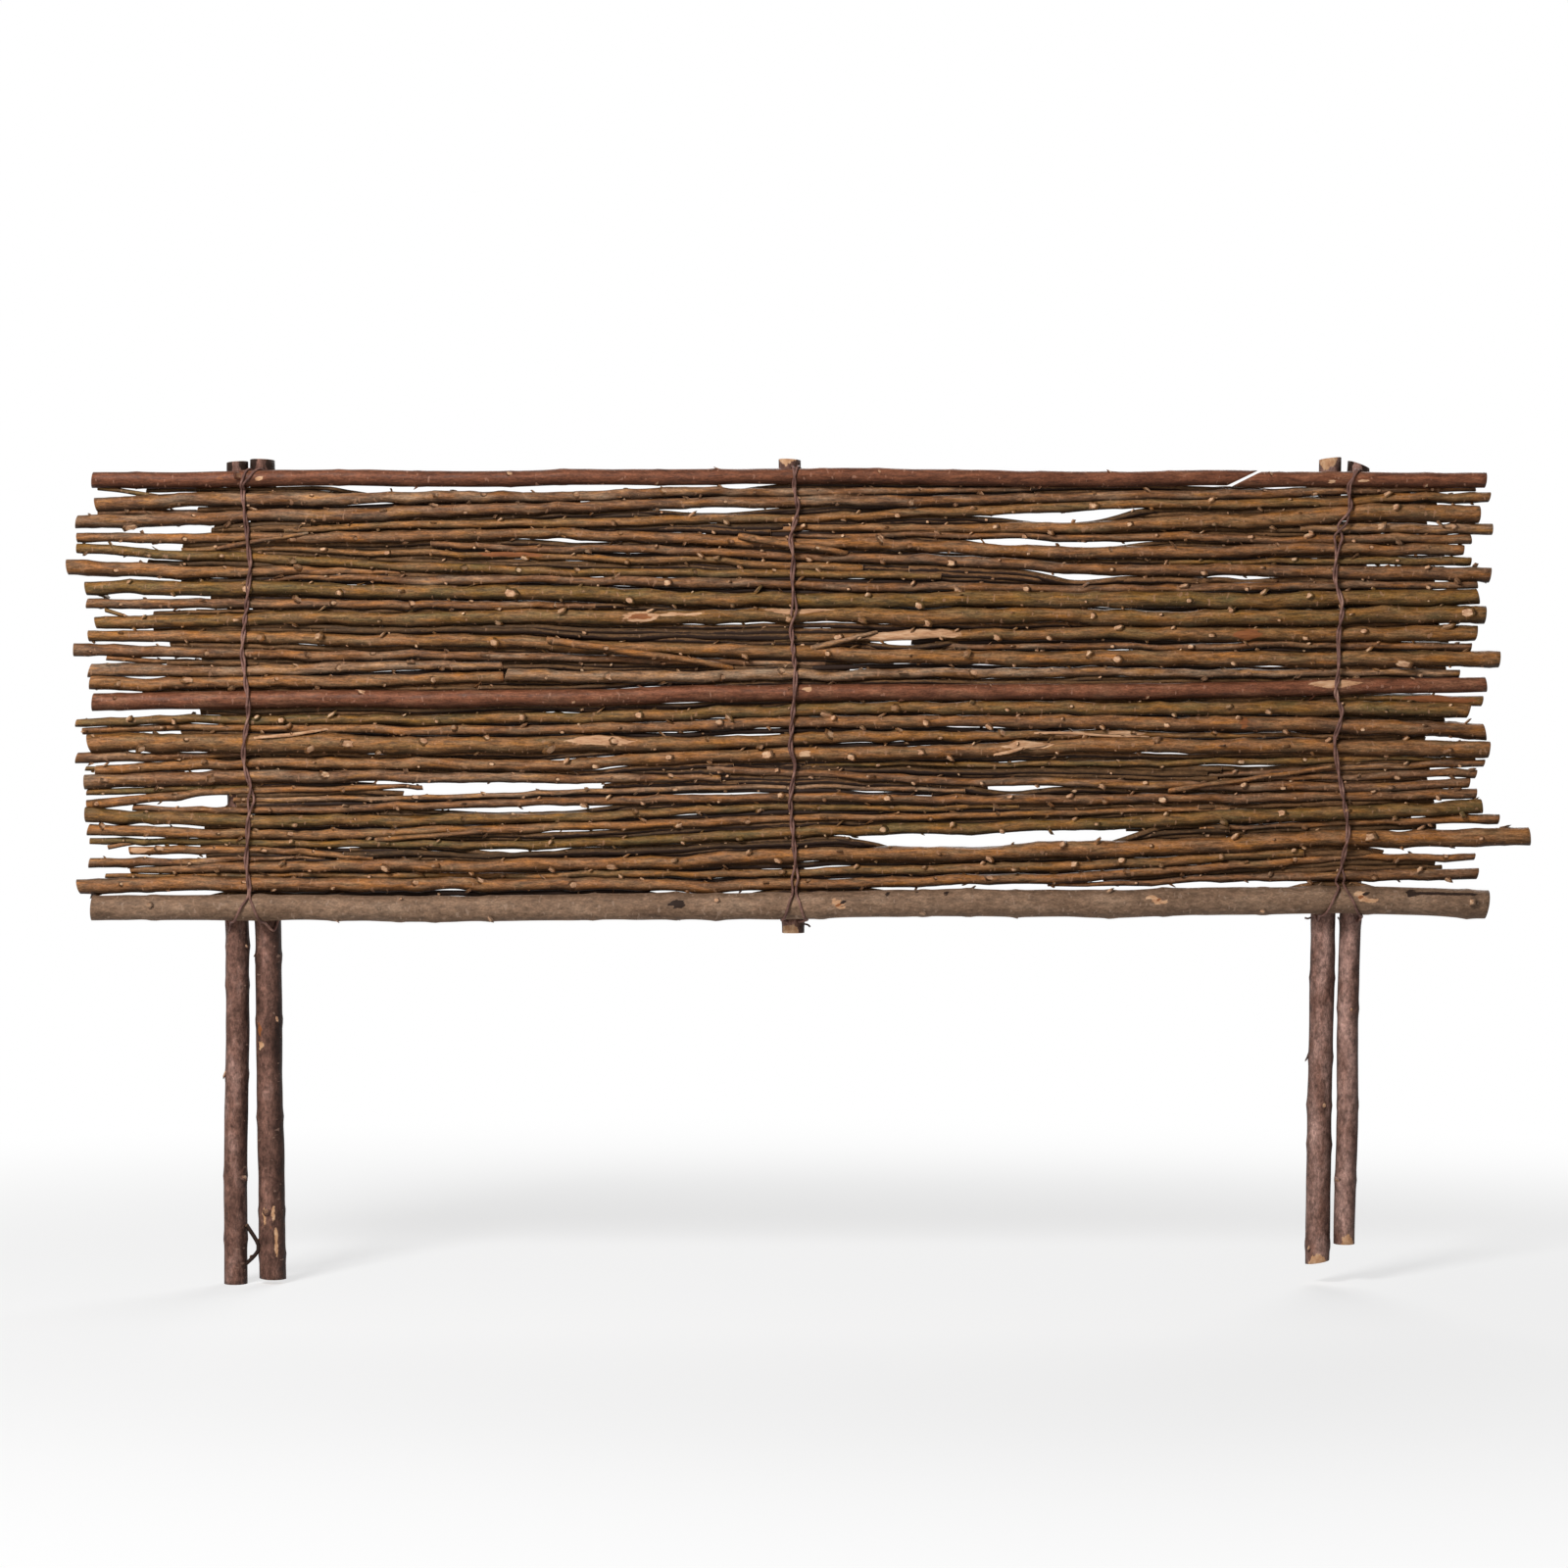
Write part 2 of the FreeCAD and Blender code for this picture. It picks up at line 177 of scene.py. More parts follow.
# How far each strand has moved to the right where it passes over the top rail and under the bottom rail
WIRE_OVER_TOP = {"left": (8.0, 17.0), "middle": (-3.0, 6.0), "right": (7.0, 14.0)}
WIRE_UNDER_BOTTOM = {"left": (-15.0, 11.0), "middle": (-9.0, 9.0), "right": (-14.0, 15.0)}
# Where the two strands gape: height and extra half distance between them
WIRE_GAPES = {"left": ((100, 1.4),), "middle": ((250, 1.2), (34, 1.4)), "right": ((318, 4.5), (34, 2.2))}
GAPE_LENGTH = 8.0
# Distance between the rings of a strand, and how far a strand and a crossing twig bridge dips
WIRE_STEP = 1.5
WIRE_BRIDGE = 9.0
TWIG_BRIDGE = 14.0
# Degrees at which the points of a strand lie: round a rail, from 0 in front to 90 on top, and round
# a post, from -90 in front to 90 at the back; round a post it changes height between the first two
TOP_TURNS = (-35, 0, 45, 90, 135)
BOTTOM_TURNS = (50, 15, -20, -60, -95)
POST_TURNS = (-62, -35, -5, 40, 90)
# How far a strand stays off a post, the points of the twisted end and the turn between two of them
POST_CLEARANCE = 0.2
TAIL_POINTS = 9
TAIL_TURN = 0.75
# Height between the turns of the twisted ends
TAIL_STEP = 1.5
# The twisted ends at the back lie this far to the right of their column, against a post
WIRE_TAILS = {"left": 20.0, "middle": 0.0, "right": 4.0}
# How far below the bottom rail the strands reach the posts, and how far above it they go round behind
WIRE_DROPS = {"left": 6.5, "middle": 1.5, "right": 4.5}
HIDDEN_RISE = 4.5
# How far below its last point over the top rail a strand goes round the posts
BACK_DROP = 0.5
# Short cut ends of wire that stick out beside the posts: points along the panel, back and up
WIRE_ENDS = {"left": (), "middle": ((8.0, 12.0, -3.0), (10.8, 10.0, -3.6), (12.6, 9.0, -5.2)),
             "right": ((424.0, 10.0, 2.4), (421.0, 8.0, 1.6), (418.6, 7.0, 2.2))}
WIRE_END_RADIUS = 0.8


# Small helpers

def generator(*numbers):
    """A random source of its own for one piece, so that each run gives the same piece."""
    return np.random.default_rng([SEED, *numbers])


def between(before, here, after, beyond, t):
    """The smooth curve through four values, at the share t of the way from the second to the third."""
    square = 2 * before - 5 * here + 4 * after - beyond
    cubic = 3 * (here - after) + beyond - before
    return here + 0.5 * t * (after - before + t * (square + t * cubic))


def wander(rng, places, spacing, amplitude):
    """A smooth random curve over the places, with a new turn about every spacing."""
    start = places[0] - 2 * spacing
    count = int((places[-1] - start) / spacing) + 5
    values = rng.normal(0.0, amplitude, count)
    position = (np.asarray(places) - start) / spacing
    index = np.clip(position.astype(int), 1, count - 3)
    t = position - index
    before, here, after, beyond = (values[index + k] for k in (-1, 0, 1, 2))
    return between(before, here, after, beyond, t)


def unit(vectors):
    return vectors / np.linalg.norm(vectors, axis=-1, keepdims=True)


def linear(red, green, blue):
    """A colour written in display values from 0 to 255 as a shader needs it."""
    shares = [value / 255 for value in (red, green, blue)]
    return [s / 12.92 if s <= 0.04045 else ((s + 0.055) / 1.055) ** 2.4 for s in shares] + [1.0]


# Reading the CAD sticks

class Line:
    """Centre points and radii of a stick or twig, sampled along an axis."""

    def __init__(self, axis, places, path, radii):
        self.axis = axis
        self.start = places[0]
        self.end = places[-1]
        self.follow(places, path, radii)

    def follow(self, places, path, radii):
        """Takes over the natural bends that the stick was grown with."""
        self.span = places
        self.values = [path[:, X], path[:, Y], path[:, Z], radii]

    def at(self, places):
        """Centre points and radii at places along the axis."""
        columns = [np.interp(places, self.span, value) for value in self.values]
        columns[self.axis] = np.asarray(places, float)
        return np.stack(columns[:3], -1), columns[3]

    def reaches(self, place):
        return self.start <= place <= self.end


class Stick(Line):
    """A CAD stick made of straight stretches, with its bends eased."""

    def __init__(self, nodes, axis):
        rings = np.array(sorted((ring for node in nodes for ring in rings_of(node, axis)),
                                key=lambda ring: ring[axis]))
        span = np.arange(rings[0, axis] - 4 * EASE, rings[-1, axis] + 4 * EASE, 1.0)
        kernel = np.exp(-0.5 * (np.arange(-3 * EASE, 3 * EASE + 1) / EASE) ** 2)
        kernel /= kernel.sum()
        eased = np.stack([np.convolve(extended(span, rings[:, axis], rings[:, column]), kernel, "valid")
                          for column in range(4)], -1)
        half = len(kernel) // 2
        super().__init__(axis, span[half:-half], eased[:, :3], eased[:, 3])
        self.start = rings[0, axis]
        self.end = rings[-1, axis]


# Points of one outline lie closer along the stick than the gap; it has enough points, stands about
# square to the stick and is about as wide as it is tall
OUTLINE_GAP = 0.6
OUTLINE_POINTS = 12
OUTLINE_LENGTH = 1.0
OUTLINE_OVAL = 0.5


def rings_of(node, axis):
    """Middle and radius of each round outline of a CAD stick."""
    points = np.array([vertex.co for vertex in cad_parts[node].data.vertices]) / MILLIMETRE
    points = points[np.argsort(points[:, axis])]
    breaks = np.where(np.diff(points[:, axis]) > OUTLINE_GAP)[0] + 1
    across = [other for other in (X, Y, Z) if other != axis]
    rings = []
    for group in np.split(points, breaks):
        low, high = group.min(0), group.max(0)
        wide, tall = (high - low)[across]
        whole = len(group) >= OUTLINE_POINTS and (high - low)[axis] < OUTLINE_LENGTH
        if whole and abs(wide - tall) < OUTLINE_OVAL:
            rings.append((*((low + high) / 2), max(wide, tall) / 2))
    return rings


def extended(places, xs, ys):
    """Straight lines through the points, carried on past both ends at half of the end slopes."""
    line = np.interp(places, xs, ys)
    first = 0.5 * (ys[1] - ys[0]) / (xs[1] - xs[0])
    last = 0.5 * (ys[-1] - ys[-2]) / (xs[-1] - xs[-2])
    line += np.where(places < xs[0], (places - xs[0]) * first, 0.0)
    return line + np.where(places > xs[-1], (places - xs[-1]) * last, 0.0)


# Meshes

class Shell:
    """The points, faces and painted marks of one piece."""

    PAINTS = ("tone", "bleach", "cut", "peel", "rust", "dark")

    def __init__(self, tone):
        self.tone = tone
        self.points = []
        self.faces = []
        self.paints = {name: [] for name in self.PAINTS}
        self.count = 0

    def add(self, points, faces, **paints):
        self.points.append(points)
        self.faces += [tuple(int(corner) + self.count for corner in face) for face in faces]
        for name in self.PAINTS:
            value = paints.get(name, self.tone if name == "tone" else 0.0)
            self.paints[name].append(np.broadcast_to(value, len(points)))
        self.count += len(points)

    def add_rings(self, rings, first_tip, last_tip, **paints):
        """Rings joined in a row and closed at both ends with a point."""
        count, sides = rings.shape[:2]
        grid = np.arange(count * sides).reshape(count, sides)
        ahead = np.roll(grid, -1, 1)
        faces = np.stack([grid[:-1], grid[1:], ahead[1:], ahead[:-1]], -1).reshape(-1, 4).tolist()
        tips = count * sides
        faces += [(tips, grid[0, side], ahead[0, side]) for side in range(sides)]
        faces += [(tips + 1, ahead[-1, side], grid[-1, side]) for side in range(sides)]
        points = np.concatenate([rings.reshape(-1, 3), [first_tip, last_tip]])
        spread = {}
        for name, value in paints.items():
            value = np.asarray(value, float)
            spread[name] = np.concatenate([value.reshape(-1), value[0, :1], value[-1, :1]])
        self.add(points, faces, **spread)

    def piece(self, name, material, slot, *nodes):
        mesh = bpy.data.meshes.new(name)
        mesh.from_pydata((np.concatenate(self.points) * MILLIMETRE).tolist(), [], self.faces)
        for paint, values in self.paints.items():
            attribute = mesh.attributes.new(paint, "FLOAT", "POINT")
            attribute.data.foreach_set("value", np.concatenate(values).astype(np.float32))
        mesh.polygons.foreach_set("use_smooth", np.ones(len(mesh.polygons), bool))
        mesh.materials.append(material)
        mesh.update()
        piece = bpy.data.objects.new(name, mesh)
        bpy.context.scene.collection.objects.link(piece)
        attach(piece, "root")
        if nodes:
            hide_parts(*nodes)


def cross_axes(path):
    """Two directions square to a path: towards the front and, on a lying stick, upwards."""
    along = unit(np.gradient(path, axis=0))
    front = np.array([0.0, -1.0, 0.0])
    front = unit(front - (along @ front)[:, None] * along)
    return front, np.cross(front, along), along


def mark_strength(marks, kind, places, angles):
    """How strongly each point of a ring grid shows the marks of one kind."""
    strength = np.zeros((len(places), len(angles)))
    for mark in marks:
        if mark.kind == kind:
            middle, half = (mark.start + mark.end) / 2, (mark.end - mark.start) / 2
            away = np.abs((np.degrees(angles) - mark.facing + 180) % 360 - 180) / mark.spread
            lens = 1 - ((places - middle)[:, None] / half) ** 2 - away[None, :]
            strength = np.maximum(strength, np.clip(MARK_STEEPNESS * lens, 0, 1))
    return strength


def painted_light_round(path, angles):
    """Painted light round a stick: 1 for the painted highlight at the front and back, -1 for the painted
    shade in between.
    """
    lying = np.argmax(np.ptp(path, axis=0)) == X
    return np.cos(2 * (angles - math.radians(PAINTED_LIGHT_UP if lying else PAINTED_LIGHT_LEFT)))


def bark_tube(shell, rng, path, radii, sides, lumps, slants=(0.0, 0.0), marks=()):
    """A barked stick along a path, with cut ends; slants shear the end cuts upwards along the stick."""
    places = path[:, np.argmax(np.ptp(path, axis=0))]
    angles = np.arange(sides) * 2 * math.pi / sides
    front, upward, along = cross_axes(path)
    swell = np.ones((len(path), sides))
    for lobes in (1, 2, 3):
        size = wander(rng, places, 28.0, lumps)
        turn = wander(rng, places, 60.0, 1.5)
        swell += size[:, None] * np.cos(lobes * angles[None, :] + turn[:, None])
    swell += wander(rng, places, 14.0, 0.6 * lumps)[:, None]
    outward = (np.cos(angles)[None, :, None] * front[:, None, :]
               + np.sin(angles)[None, :, None] * upward[:, None, :])
    reach = radii[:, None] * swell
    rings = path[:, None, :] + reach[:, :, None] * outward

    # The end cuts: points slide along the stick, the more the closer they are to the end
    for slant, end, middle in ((slants[0], places[0], path[0]), (slants[1], places[-1], path[-1])):
        zone = 3.0 * max(abs(slant), 0.01) * radii.max()
        weight = np.clip(1 - np.abs(places - end) / zone, 0, 1)
        slide = slant * reach * np.sin(angles)[None, :] * weight[:, None]
        rings += slide[:, :, None] * along[:, None, :]

    # Each end is closed by a narrow bevel and a flat, paler face
    first, last = rings[0], rings[-1]
    first_middle, last_middle = first.mean(0), last.mean(0)
    bevels = [first_middle + (first - first_middle) * share - along[0] * push
              for share, push in ((0.62, 0.35), (0.9, 0.3))]
    ends = [last_middle + (last - last_middle) * share + along[-1] * push
            for share, push in ((0.9, 0.3), (0.62, 0.35))]
    grid = np.concatenate([bevels, rings, ends])
    cut = np.zeros(grid.shape[:2])
    cut[:2] = cut[-2:] = 1.0
    cut[2] = cut[-3] = 0.3
    # This paint holds painted light: a painted highlight along the front and back of the stick, painted
    # shade along its sides
    paints = {"cut": cut, "bleach": np.broadcast_to(painted_light_round(path, angles), cut.shape)}
    padded = np.concatenate([places[:1]] * 2 + [places] + [places[-1:]] * 2)
    for kind in ("peel", "rust", "dark"):
        paints[kind] = mark_strength(marks, kind, padded, angles)
    shell.add_rings(grid, first_middle - along[0] * 0.4, last_middle + along[-1] * 0.4, **paints)


def knob(shell, rng, base, normal, along, size, height, lean):
    """The stump of a trimmed side shoot: a flared foot, short sides and a pale slanting cut."""
    angles = np.arange(KNOB_SIDES) * 2 * math.pi / KNOB_SIDES + rng.uniform(0, 1)
    lean = unit(normal + along * lean)
    first = unit(along - (along @ lean) * lean)
    second = np.cross(lean, first)
    circle = np.cos(angles)[:, None] * first + np.sin(angles)[:, None] * second
    uneven = rng.uniform(0.85, 1.15, (KNOB_SIDES, 1))
    stretch = uneven * (1 + rng.uniform(0.2, 1.3) * np.cos(angles)[:, None] ** 2)
    foot = base - normal * 0.7
    tilt = rng.uniform(-0.2, 0.5)
    top = base + lean * height
    slope = lean[None, :] * (tilt * size * np.cos(angles))[:, None]
    rings = np.stack([foot + circle * size * 1.7 * stretch,
                      base + lean * height * 0.35 + circle * size * 1.15 * stretch,
                      top + circle * size * stretch + slope,
                      top + lean * 0.12 + circle * size * 0.72 * stretch + slope * 0.7])
    pale = rng.choice(KNOB_PALENESS)
    cut = np.repeat([[0.0], [0.3], [0.75], [1.0]], KNOB_SIDES, 1) * pale
    tone = np.full((4, KNOB_SIDES), shell.tone)
    shell.add_rings(rings, foot, top + lean * 0.18, cut=cut, tone=tone)


def plan_knobs(rng, start, end, spacing):
    """Where stumps sit along a stick and which way round it they face, in a spiral."""
    places, turns = [], []
    place = start + rng.uniform(0.2, 0.9) * spacing
    turn = rng.uniform(0, 2 * math.pi)
    while place < end - 3:
        places.append(place)
        turns.append(turn)
        place += spacing * rng.uniform(0.45, 1.5)
        turn += math.radians(rng.uniform(110, 165))
    return np.array(places), np.array(turns)


def gnarl(rng, places, path, radii, knob_places, kink, across):
    """Bends a stick a little and swells it at each of its stumps."""
    if len(knob_places) == 0:
        return
    for direction in across:
        path[:, direction] += np.interp(places, knob_places, rng.normal(0, kink, len(knob_places)))
    nearest = np.abs(places[:, None] - knob_places[None, :]).min(1)
    radii *= 1 + 0.07 * np.exp(-(nearest / 4.0) ** 2)


def knobs(shell, rng, places, path, radii, plan, sizes, heights):
    """Stumps round a stick, leaning towards its thin end."""
    front, upward, along = cross_axes(path)
    grows = along * (1.0 if radii[-1] <= radii[0] else -1.0)
    for place, turn in zip(*plan):
        i = int(np.argmin(np.abs(places - place)))
        normal = math.cos(turn) * front[i] + math.sin(turn) * upward[i]
        room = 1.0 - 0.55 * abs(math.sin(turn)) if math.cos(turn) > -0.2 else 0.4
        size = min(sizes[0] + (sizes[1] - sizes[0]) * rng.uniform() ** 1.6, 0.45 * radii[i])
        height = rng.uniform(*heights) * room
        lean = rng.uniform(0.35, 1.2)
        if rng.uniform() < SPUR_SHARE and heights[1] > 1.5:
            size *= 0.55
            height *= 3.2
            lean += 1.2
        knob(shell, rng, path[i] + normal * radii[i], normal, grows[i], size, height, lean)


# Materials

class Nodes:
    """Short words for building one material's node tree."""

    def __init__(self, name):
        self.material = bpy.data.materials.new(name)
        self.material.use_nodes = True
        self.tree = self.material.node_tree
        self.shader = self.tree.nodes["Principled BSDF"]

    def node(self, kind, **settings):
        made = self.tree.nodes.new(kind)
        for name, value in settings.items():
            setattr(made, name, value)
        return made

    def join(self, output, socket):
        self.tree.links.new(output, socket)

    def feed(self, socket, value):
        """Links an output to a socket, or sets a plain value on it."""
        if isinstance(value, bpy.types.NodeSocket):
            self.join(value, socket)
        else:
            socket.default_value = value

    def noise(self, scale, detail=4.0, roughness=0.6):
        """Noise on the object's own coordinates, with a scale per metre for each axis."""
        if "coordinates" not in self.__dict__:
            self.coordinates = self.node("ShaderNodeTexCoord").outputs["Object"]
        mapping = self.node("ShaderNodeMapping")
        mapping.inputs["Scale"].default_value = scale
        self.join(self.coordinates, mapping.inputs["Vector"])
        noise = self.node("ShaderNodeTexNoise")
        noise.inputs["Scale"].default_value = 1.0
        noise.inputs["Detail"].default_value = detail
        noise.inputs["Roughness"].default_value = roughness
        self.join(mapping.outputs["Vector"], noise.inputs["Vector"])
        return noise.outputs["Fac"]

    def paint(self, name):
        return self.node("ShaderNodeAttribute", attribute_name=name).outputs["Fac"]

    def math(self, operation, first, second, clamp=False):
        node = self.node("ShaderNodeMath", operation=operation, use_clamp=clamp)
        self.feed(node.inputs[0], first)
        self.feed(node.inputs[1], second)
        return node.outputs[0]

    def span(self, value, low, high, to_low=0.0, to_high=1.0):
        node = self.node("ShaderNodeMapRange")
        for socket, given in zip(node.inputs[:5], (value, low, high, to_low, to_high)):
            self.feed(socket, given)
        return node.outputs[0]

    def ramp(self, value, stops):
        node = self.node("ShaderNodeValToRGB")
        elements = node.color_ramp.elements
        while len(elements) < len(stops):
            elements.new(0.5)
        for element, (position, colour) in zip(elements, stops):
            element.position = position
            element.color = linear(*colour)
        self.join(value, node.inputs["Fac"])
        return node.outputs["Color"]

    def mix(self, factor, first, second, blend="MIX"):
        node = self.node("ShaderNodeMix", data_type="RGBA", blend_type=blend)
        self.feed(node.inputs["Factor"], factor)
        self.feed(node.inputs["A"], first)
        self.feed(node.inputs["B"], second)
        return node.outputs["Result"]

    def shade(self, colour, factor):
        """The colour made lighter or darker by a factor."""
        node = self.node("ShaderNodeVectorMath", operation="SCALE")
        self.join(colour, node.inputs[0])
        self.feed(node.inputs["Scale"], factor)
        return node.outputs["Vector"]

    def bump(self, height, distance, strength=1.0, under=None):
        node = self.node("ShaderNodeBump")
        node.inputs["Distance"].default_value = distance * MILLIMETRE
        node.inputs["Strength"].default_value = strength
        self.join(height, node.inputs["Height"])
        if under is not None:
            self.join(under, node.inputs["Normal"])
        return node.outputs["Normal"]


def along_scale(axis, along, across):
    """Texture scale per metre: along the stick and across it."""
    return [along if direction == axis else across for direction in (X, Y, Z)]


# One of these fields sets how strong the painted highlight and painted shade round a stick are
Bark = namedtuple("Bark", "colours streak_scale streak blotch bleach specks speck_colour roughness relief")

# Noise scales of the bark's patterns per metre, along the stick and across it
BLOTCH_SCALE = (26, 75)
GRAIN_SCALE = (420, 1300)
EDGE_SCALE = (160, 420)
SPECK_SCALE = (330, 170)
WEATHER_SCALE = (30, 190)

# Tints that multiply the colour of young bark: ochre where it is fresh, grey where the weather took it
WEATHER_TINTS = [(0.34, (255, 238, 190)), (0.5, (240, 240, 240)), (0.66, (218, 238, 255))]
# Colours of what shows in place of bark, from the darker to the paler streaks
PEELED_WOOD = [(0.3, (150, 104, 72)), (0.48, (196, 148, 110)), (0.7, (222, 184, 148))]
RUST_STAIN = [(0.3, (116, 68, 40)), (0.6, (150, 92, 54)), (0.8, (174, 120, 82))]
CUT_WOOD = [(0.3, (158, 110, 80)), (0.5, (204, 158, 122)), (0.7, (232, 198, 160))]
# Dark stains on the bark; this colour is also the painted shade on the crevice twigs
DARK_STAIN_AND_SHADE = (44, 30, 23)
WIRE_COAT = [(0.3, (78, 52, 46)), (0.55, (122, 88, 78)), (0.75, (168, 130, 114))]


def bark_material(name, axis, bark, tints=None):
    """Bark with streaks along the stick, blotches, small specks, and pale cut and peeled wood."""
    n = Nodes(name)
    streaks = n.noise(along_scale(axis, *bark.streak_scale), 5.0, 0.65)
    blotches = n.noise(along_scale(axis, *BLOTCH_SCALE), 3.0, 0.6)
    grain = n.noise(along_scale(axis, *GRAIN_SCALE), 3.0, 0.6)
    edges = n.noise(along_scale(axis, *EDGE_SCALE), 3.0, 0.6)

    shift = n.math("MULTIPLY", n.math("SUBTRACT", blotches, 0.5), bark.blotch)
    tone = n.math("ADD", n.paint("tone"), shift, True)
    stops = [(i / (len(bark.colours) - 1), colour) for i, colour in enumerate(bark.colours)]
    colour = n.ramp(tone, stops)
    colour = n.shade(colour, n.span(streaks, 0.36, 0.64, 1 - bark.streak, 1 + bark.streak))
    colour = n.shade(colour, n.span(grain, 0.3, 0.7, 0.64, 1.36))
    # Painted light: lighter along the painted highlight, darker in the painted shade on the sides
    colour = n.shade(colour, n.span(n.paint("bleach"), -1.0, 1.0, 1 - bark.bleach, 1 + bark.bleach))
    if tints:
        weather = n.noise(along_scale(axis, *WEATHER_SCALE), 4.0, 0.65)
        colour = n.mix(1.0, colour, n.ramp(weather, tints), "MULTIPLY")
    dots = n.noise(along_scale(axis, *SPECK_SCALE), 1.0, 0.4)
    speck = n.span(dots, 0.70 - bark.specks, 0.76 - bark.specks)
    colour = n.mix(n.math("MULTIPLY", speck, 0.55), colour, linear(*bark.speck_colour))

    def worn(paint):
        """A painted mark with an uneven edge that frays along the stick."""
        fray = n.math("ADD", n.math("MULTIPLY", n.math("SUBTRACT", streaks, 0.5), 1.5),
                      n.math("MULTIPLY", n.math("SUBTRACT", edges, 0.5), 0.9))
        uneven = n.span(n.math("ADD", n.paint(paint), fray), 0.36, 0.54)
        return n.math("MULTIPLY", uneven, n.span(n.paint(paint), 0.02, 0.2))

    colour = n.mix(worn("peel"), colour, n.ramp(streaks, PEELED_WOOD))
    colour = n.mix(worn("rust"), colour, n.ramp(streaks, RUST_STAIN))
    # Dark stains, and the painted shade on the crevice twigs
    colour = n.mix(worn("dark"), colour, linear(*DARK_STAIN_AND_SHADE))
    colour = n.mix(n.span(n.paint("cut"), 0.35, 0.8), colour, n.ramp(edges, CUT_WOOD))
    n.join(colour, n.shader.inputs["Base Color"])

    rough = n.span(streaks, 0.3, 0.7, bark.roughness - 0.1, bark.roughness + 0.12)
    n.join(rough, n.shader.inputs["Roughness"])
    n.shader.inputs["Specular IOR Level"].default_value = 0.14
    relief = n.bump(blotches, 1.2 * bark.relief, 0.5)
    relief = n.bump(streaks, 0.5 * bark.relief, 0.8, relief)
    n.join(n.bump(grain, 0.16 * bark.relief, 0.7, relief), n.shader.inputs["Normal"])
    return n.material


def wire_material():
    """Dull brown coated wire, worn and dusty in places."""
    n = Nodes("wire_coat")
    patches = n.noise((90, 90, 90), 3.0, 0.6)
    dust = n.noise((900, 900, 900), 3.0, 0.6)
    colour = n.ramp(patches, WIRE_COAT)
    n.join(n.shade(colour, n.span(dust, 0.3, 0.7, 0.8, 1.2)), n.shader.inputs["Base Color"])
    n.join(n.span(dust, 0.3, 0.7, 0.48, 0.72), n.shader.inputs["Roughness"])
    n.join(n.bump(dust, 0.08, 0.6), n.shader.inputs["Normal"])
    n.shader.inputs["Specular IOR Level"].default_value = 0.2
    return n.material


ROD_BARK = Bark([(96, 72, 39), (114, 80, 48), (125, 86, 55), (101, 69, 47), (132, 100, 74)],
                (75, 460), 0.5, 1.0, 0.78, 0.03, (168, 126, 96), 0.5, 1.8)
# Bark of the crevice twigs, darker than the rods' partly as painted shade for the crevices they fill
TWIG_BARK_AND_SHADE = Bark([(62, 44, 27), (82, 58, 36), (98, 68, 43)],
                 (75, 460), 0.5, 0.8, 0.55, 0.0, (150, 116, 92), 0.6, 0.8)
RAIL_BARK = Bark([(78, 44, 29), (101, 61, 42), (121, 85, 63)],
                 (75, 400), 0.42, 1.3, 0.55, 0.02, (166, 122, 100), 0.45, 0.9)
BOTTOM_BARK = Bark([(96, 73, 56), (125, 99, 79), (146, 121, 100)],
                   (120, 300), 0.3, 1.4, 0.2, 0.05, (160, 134, 114), 0.62, 1.4)
POST_BARK = Bark([(58, 38, 31), (98, 70, 60), (142, 112, 102)],
                 (170, 250), 0.45, 1.8, 0.58, 0.0, (152, 120, 104), 0.62, 2.6)
rod_bark = bark_material("rod_bark", X, ROD_BARK, WEATHER_TINTS)
twig_bark_and_shade = bark_material("twig_bark_and_shade", X, TWIG_BARK_AND_SHADE)
rail_bark = bark_material("rail_bark", X, RAIL_BARK)
bottom_bark = bark_material("bottom_rail_bark", X, BOTTOM_BARK)
post_bark = bark_material("post_bark", Z, POST_BARK)
wire_coat = wire_material()


# Sticks

def calm_at_posts(places):
    """0 where a lying stick rests on the posts and 1 well away from them."""
    calm = np.ones(len(places))
    for column in COLUMNS.values():
        calm *= 1 - np.exp(-((places - column) / 45.0) ** 2)
    return calm


Growth = namedtuple("Growth", "sides sway kink lumps knob_spacing knob_sizes knob_heights")
ROD_GROWTH = Growth(ROD_SIDES, 0.8, 0.6, 0.055, 18.0, (0.8, 2.7), (0.5, 2.2))
RAIL_GROWTH = Growth(RAIL_SIDES, 0.45, 0.3, 0.02, 60.0, (1.0, 2.2), (0.3, 1.0))
POST_GROWTH = Growth(RAIL_SIDES, 0.5, 0.4, 0.014, 60.0, (1.0, 2.4), (0.3, 1.2))
LOOSE_GROWTH = Growth(TWIG_SIDES, 0.4, 0.4, 0.05, 20.0, (0.7, 1.2), (0.6, 1.8))
TWIG_GROWTH = Growth(TWIG_SIDES, 0.45, 0.35, 0.04, 40.0, (0.6, 1.1), (0.3, 0.8))


def grow(shell, rng, places, path, radii, growth, slants, marks=()):
    """One barked stick with its stumps along a path, which gets natural bends first."""
    plan = plan_knobs(rng, places[0], places[-1], growth.knob_spacing)
    along = int(np.argmax(np.ptp(path, axis=0)))
    gnarl(rng, places, path, radii, plan[0], growth.kink, [Z] if along == X else [X])
    bark_tube(shell, rng, path, radii, growth.sides, growth.lumps, slants, marks)
    knobs(shell, rng, places, path, radii, plan, growth.knob_sizes, growth.knob_heights)


def grow_lying(shell, rng, stick, start, end, growth, slants, marks):
    """A lying stick that sways a little between the posts and rests on them."""
    places = np.linspace(start, end, max(2, int((end - start) / RING_STEP)) + 1)
    path, radii = stick.at(places)
    path[:, Z] += wander(rng, places, 70.0, growth.sway)
    path[:, Y] += (wander(rng, places, 80.0, 1.3 * growth.sway) - 0.3 * growth.sway) * calm_at_posts(places)
    grow(shell, rng, places, path, radii, growth, slants, marks)
    return places, path, radii


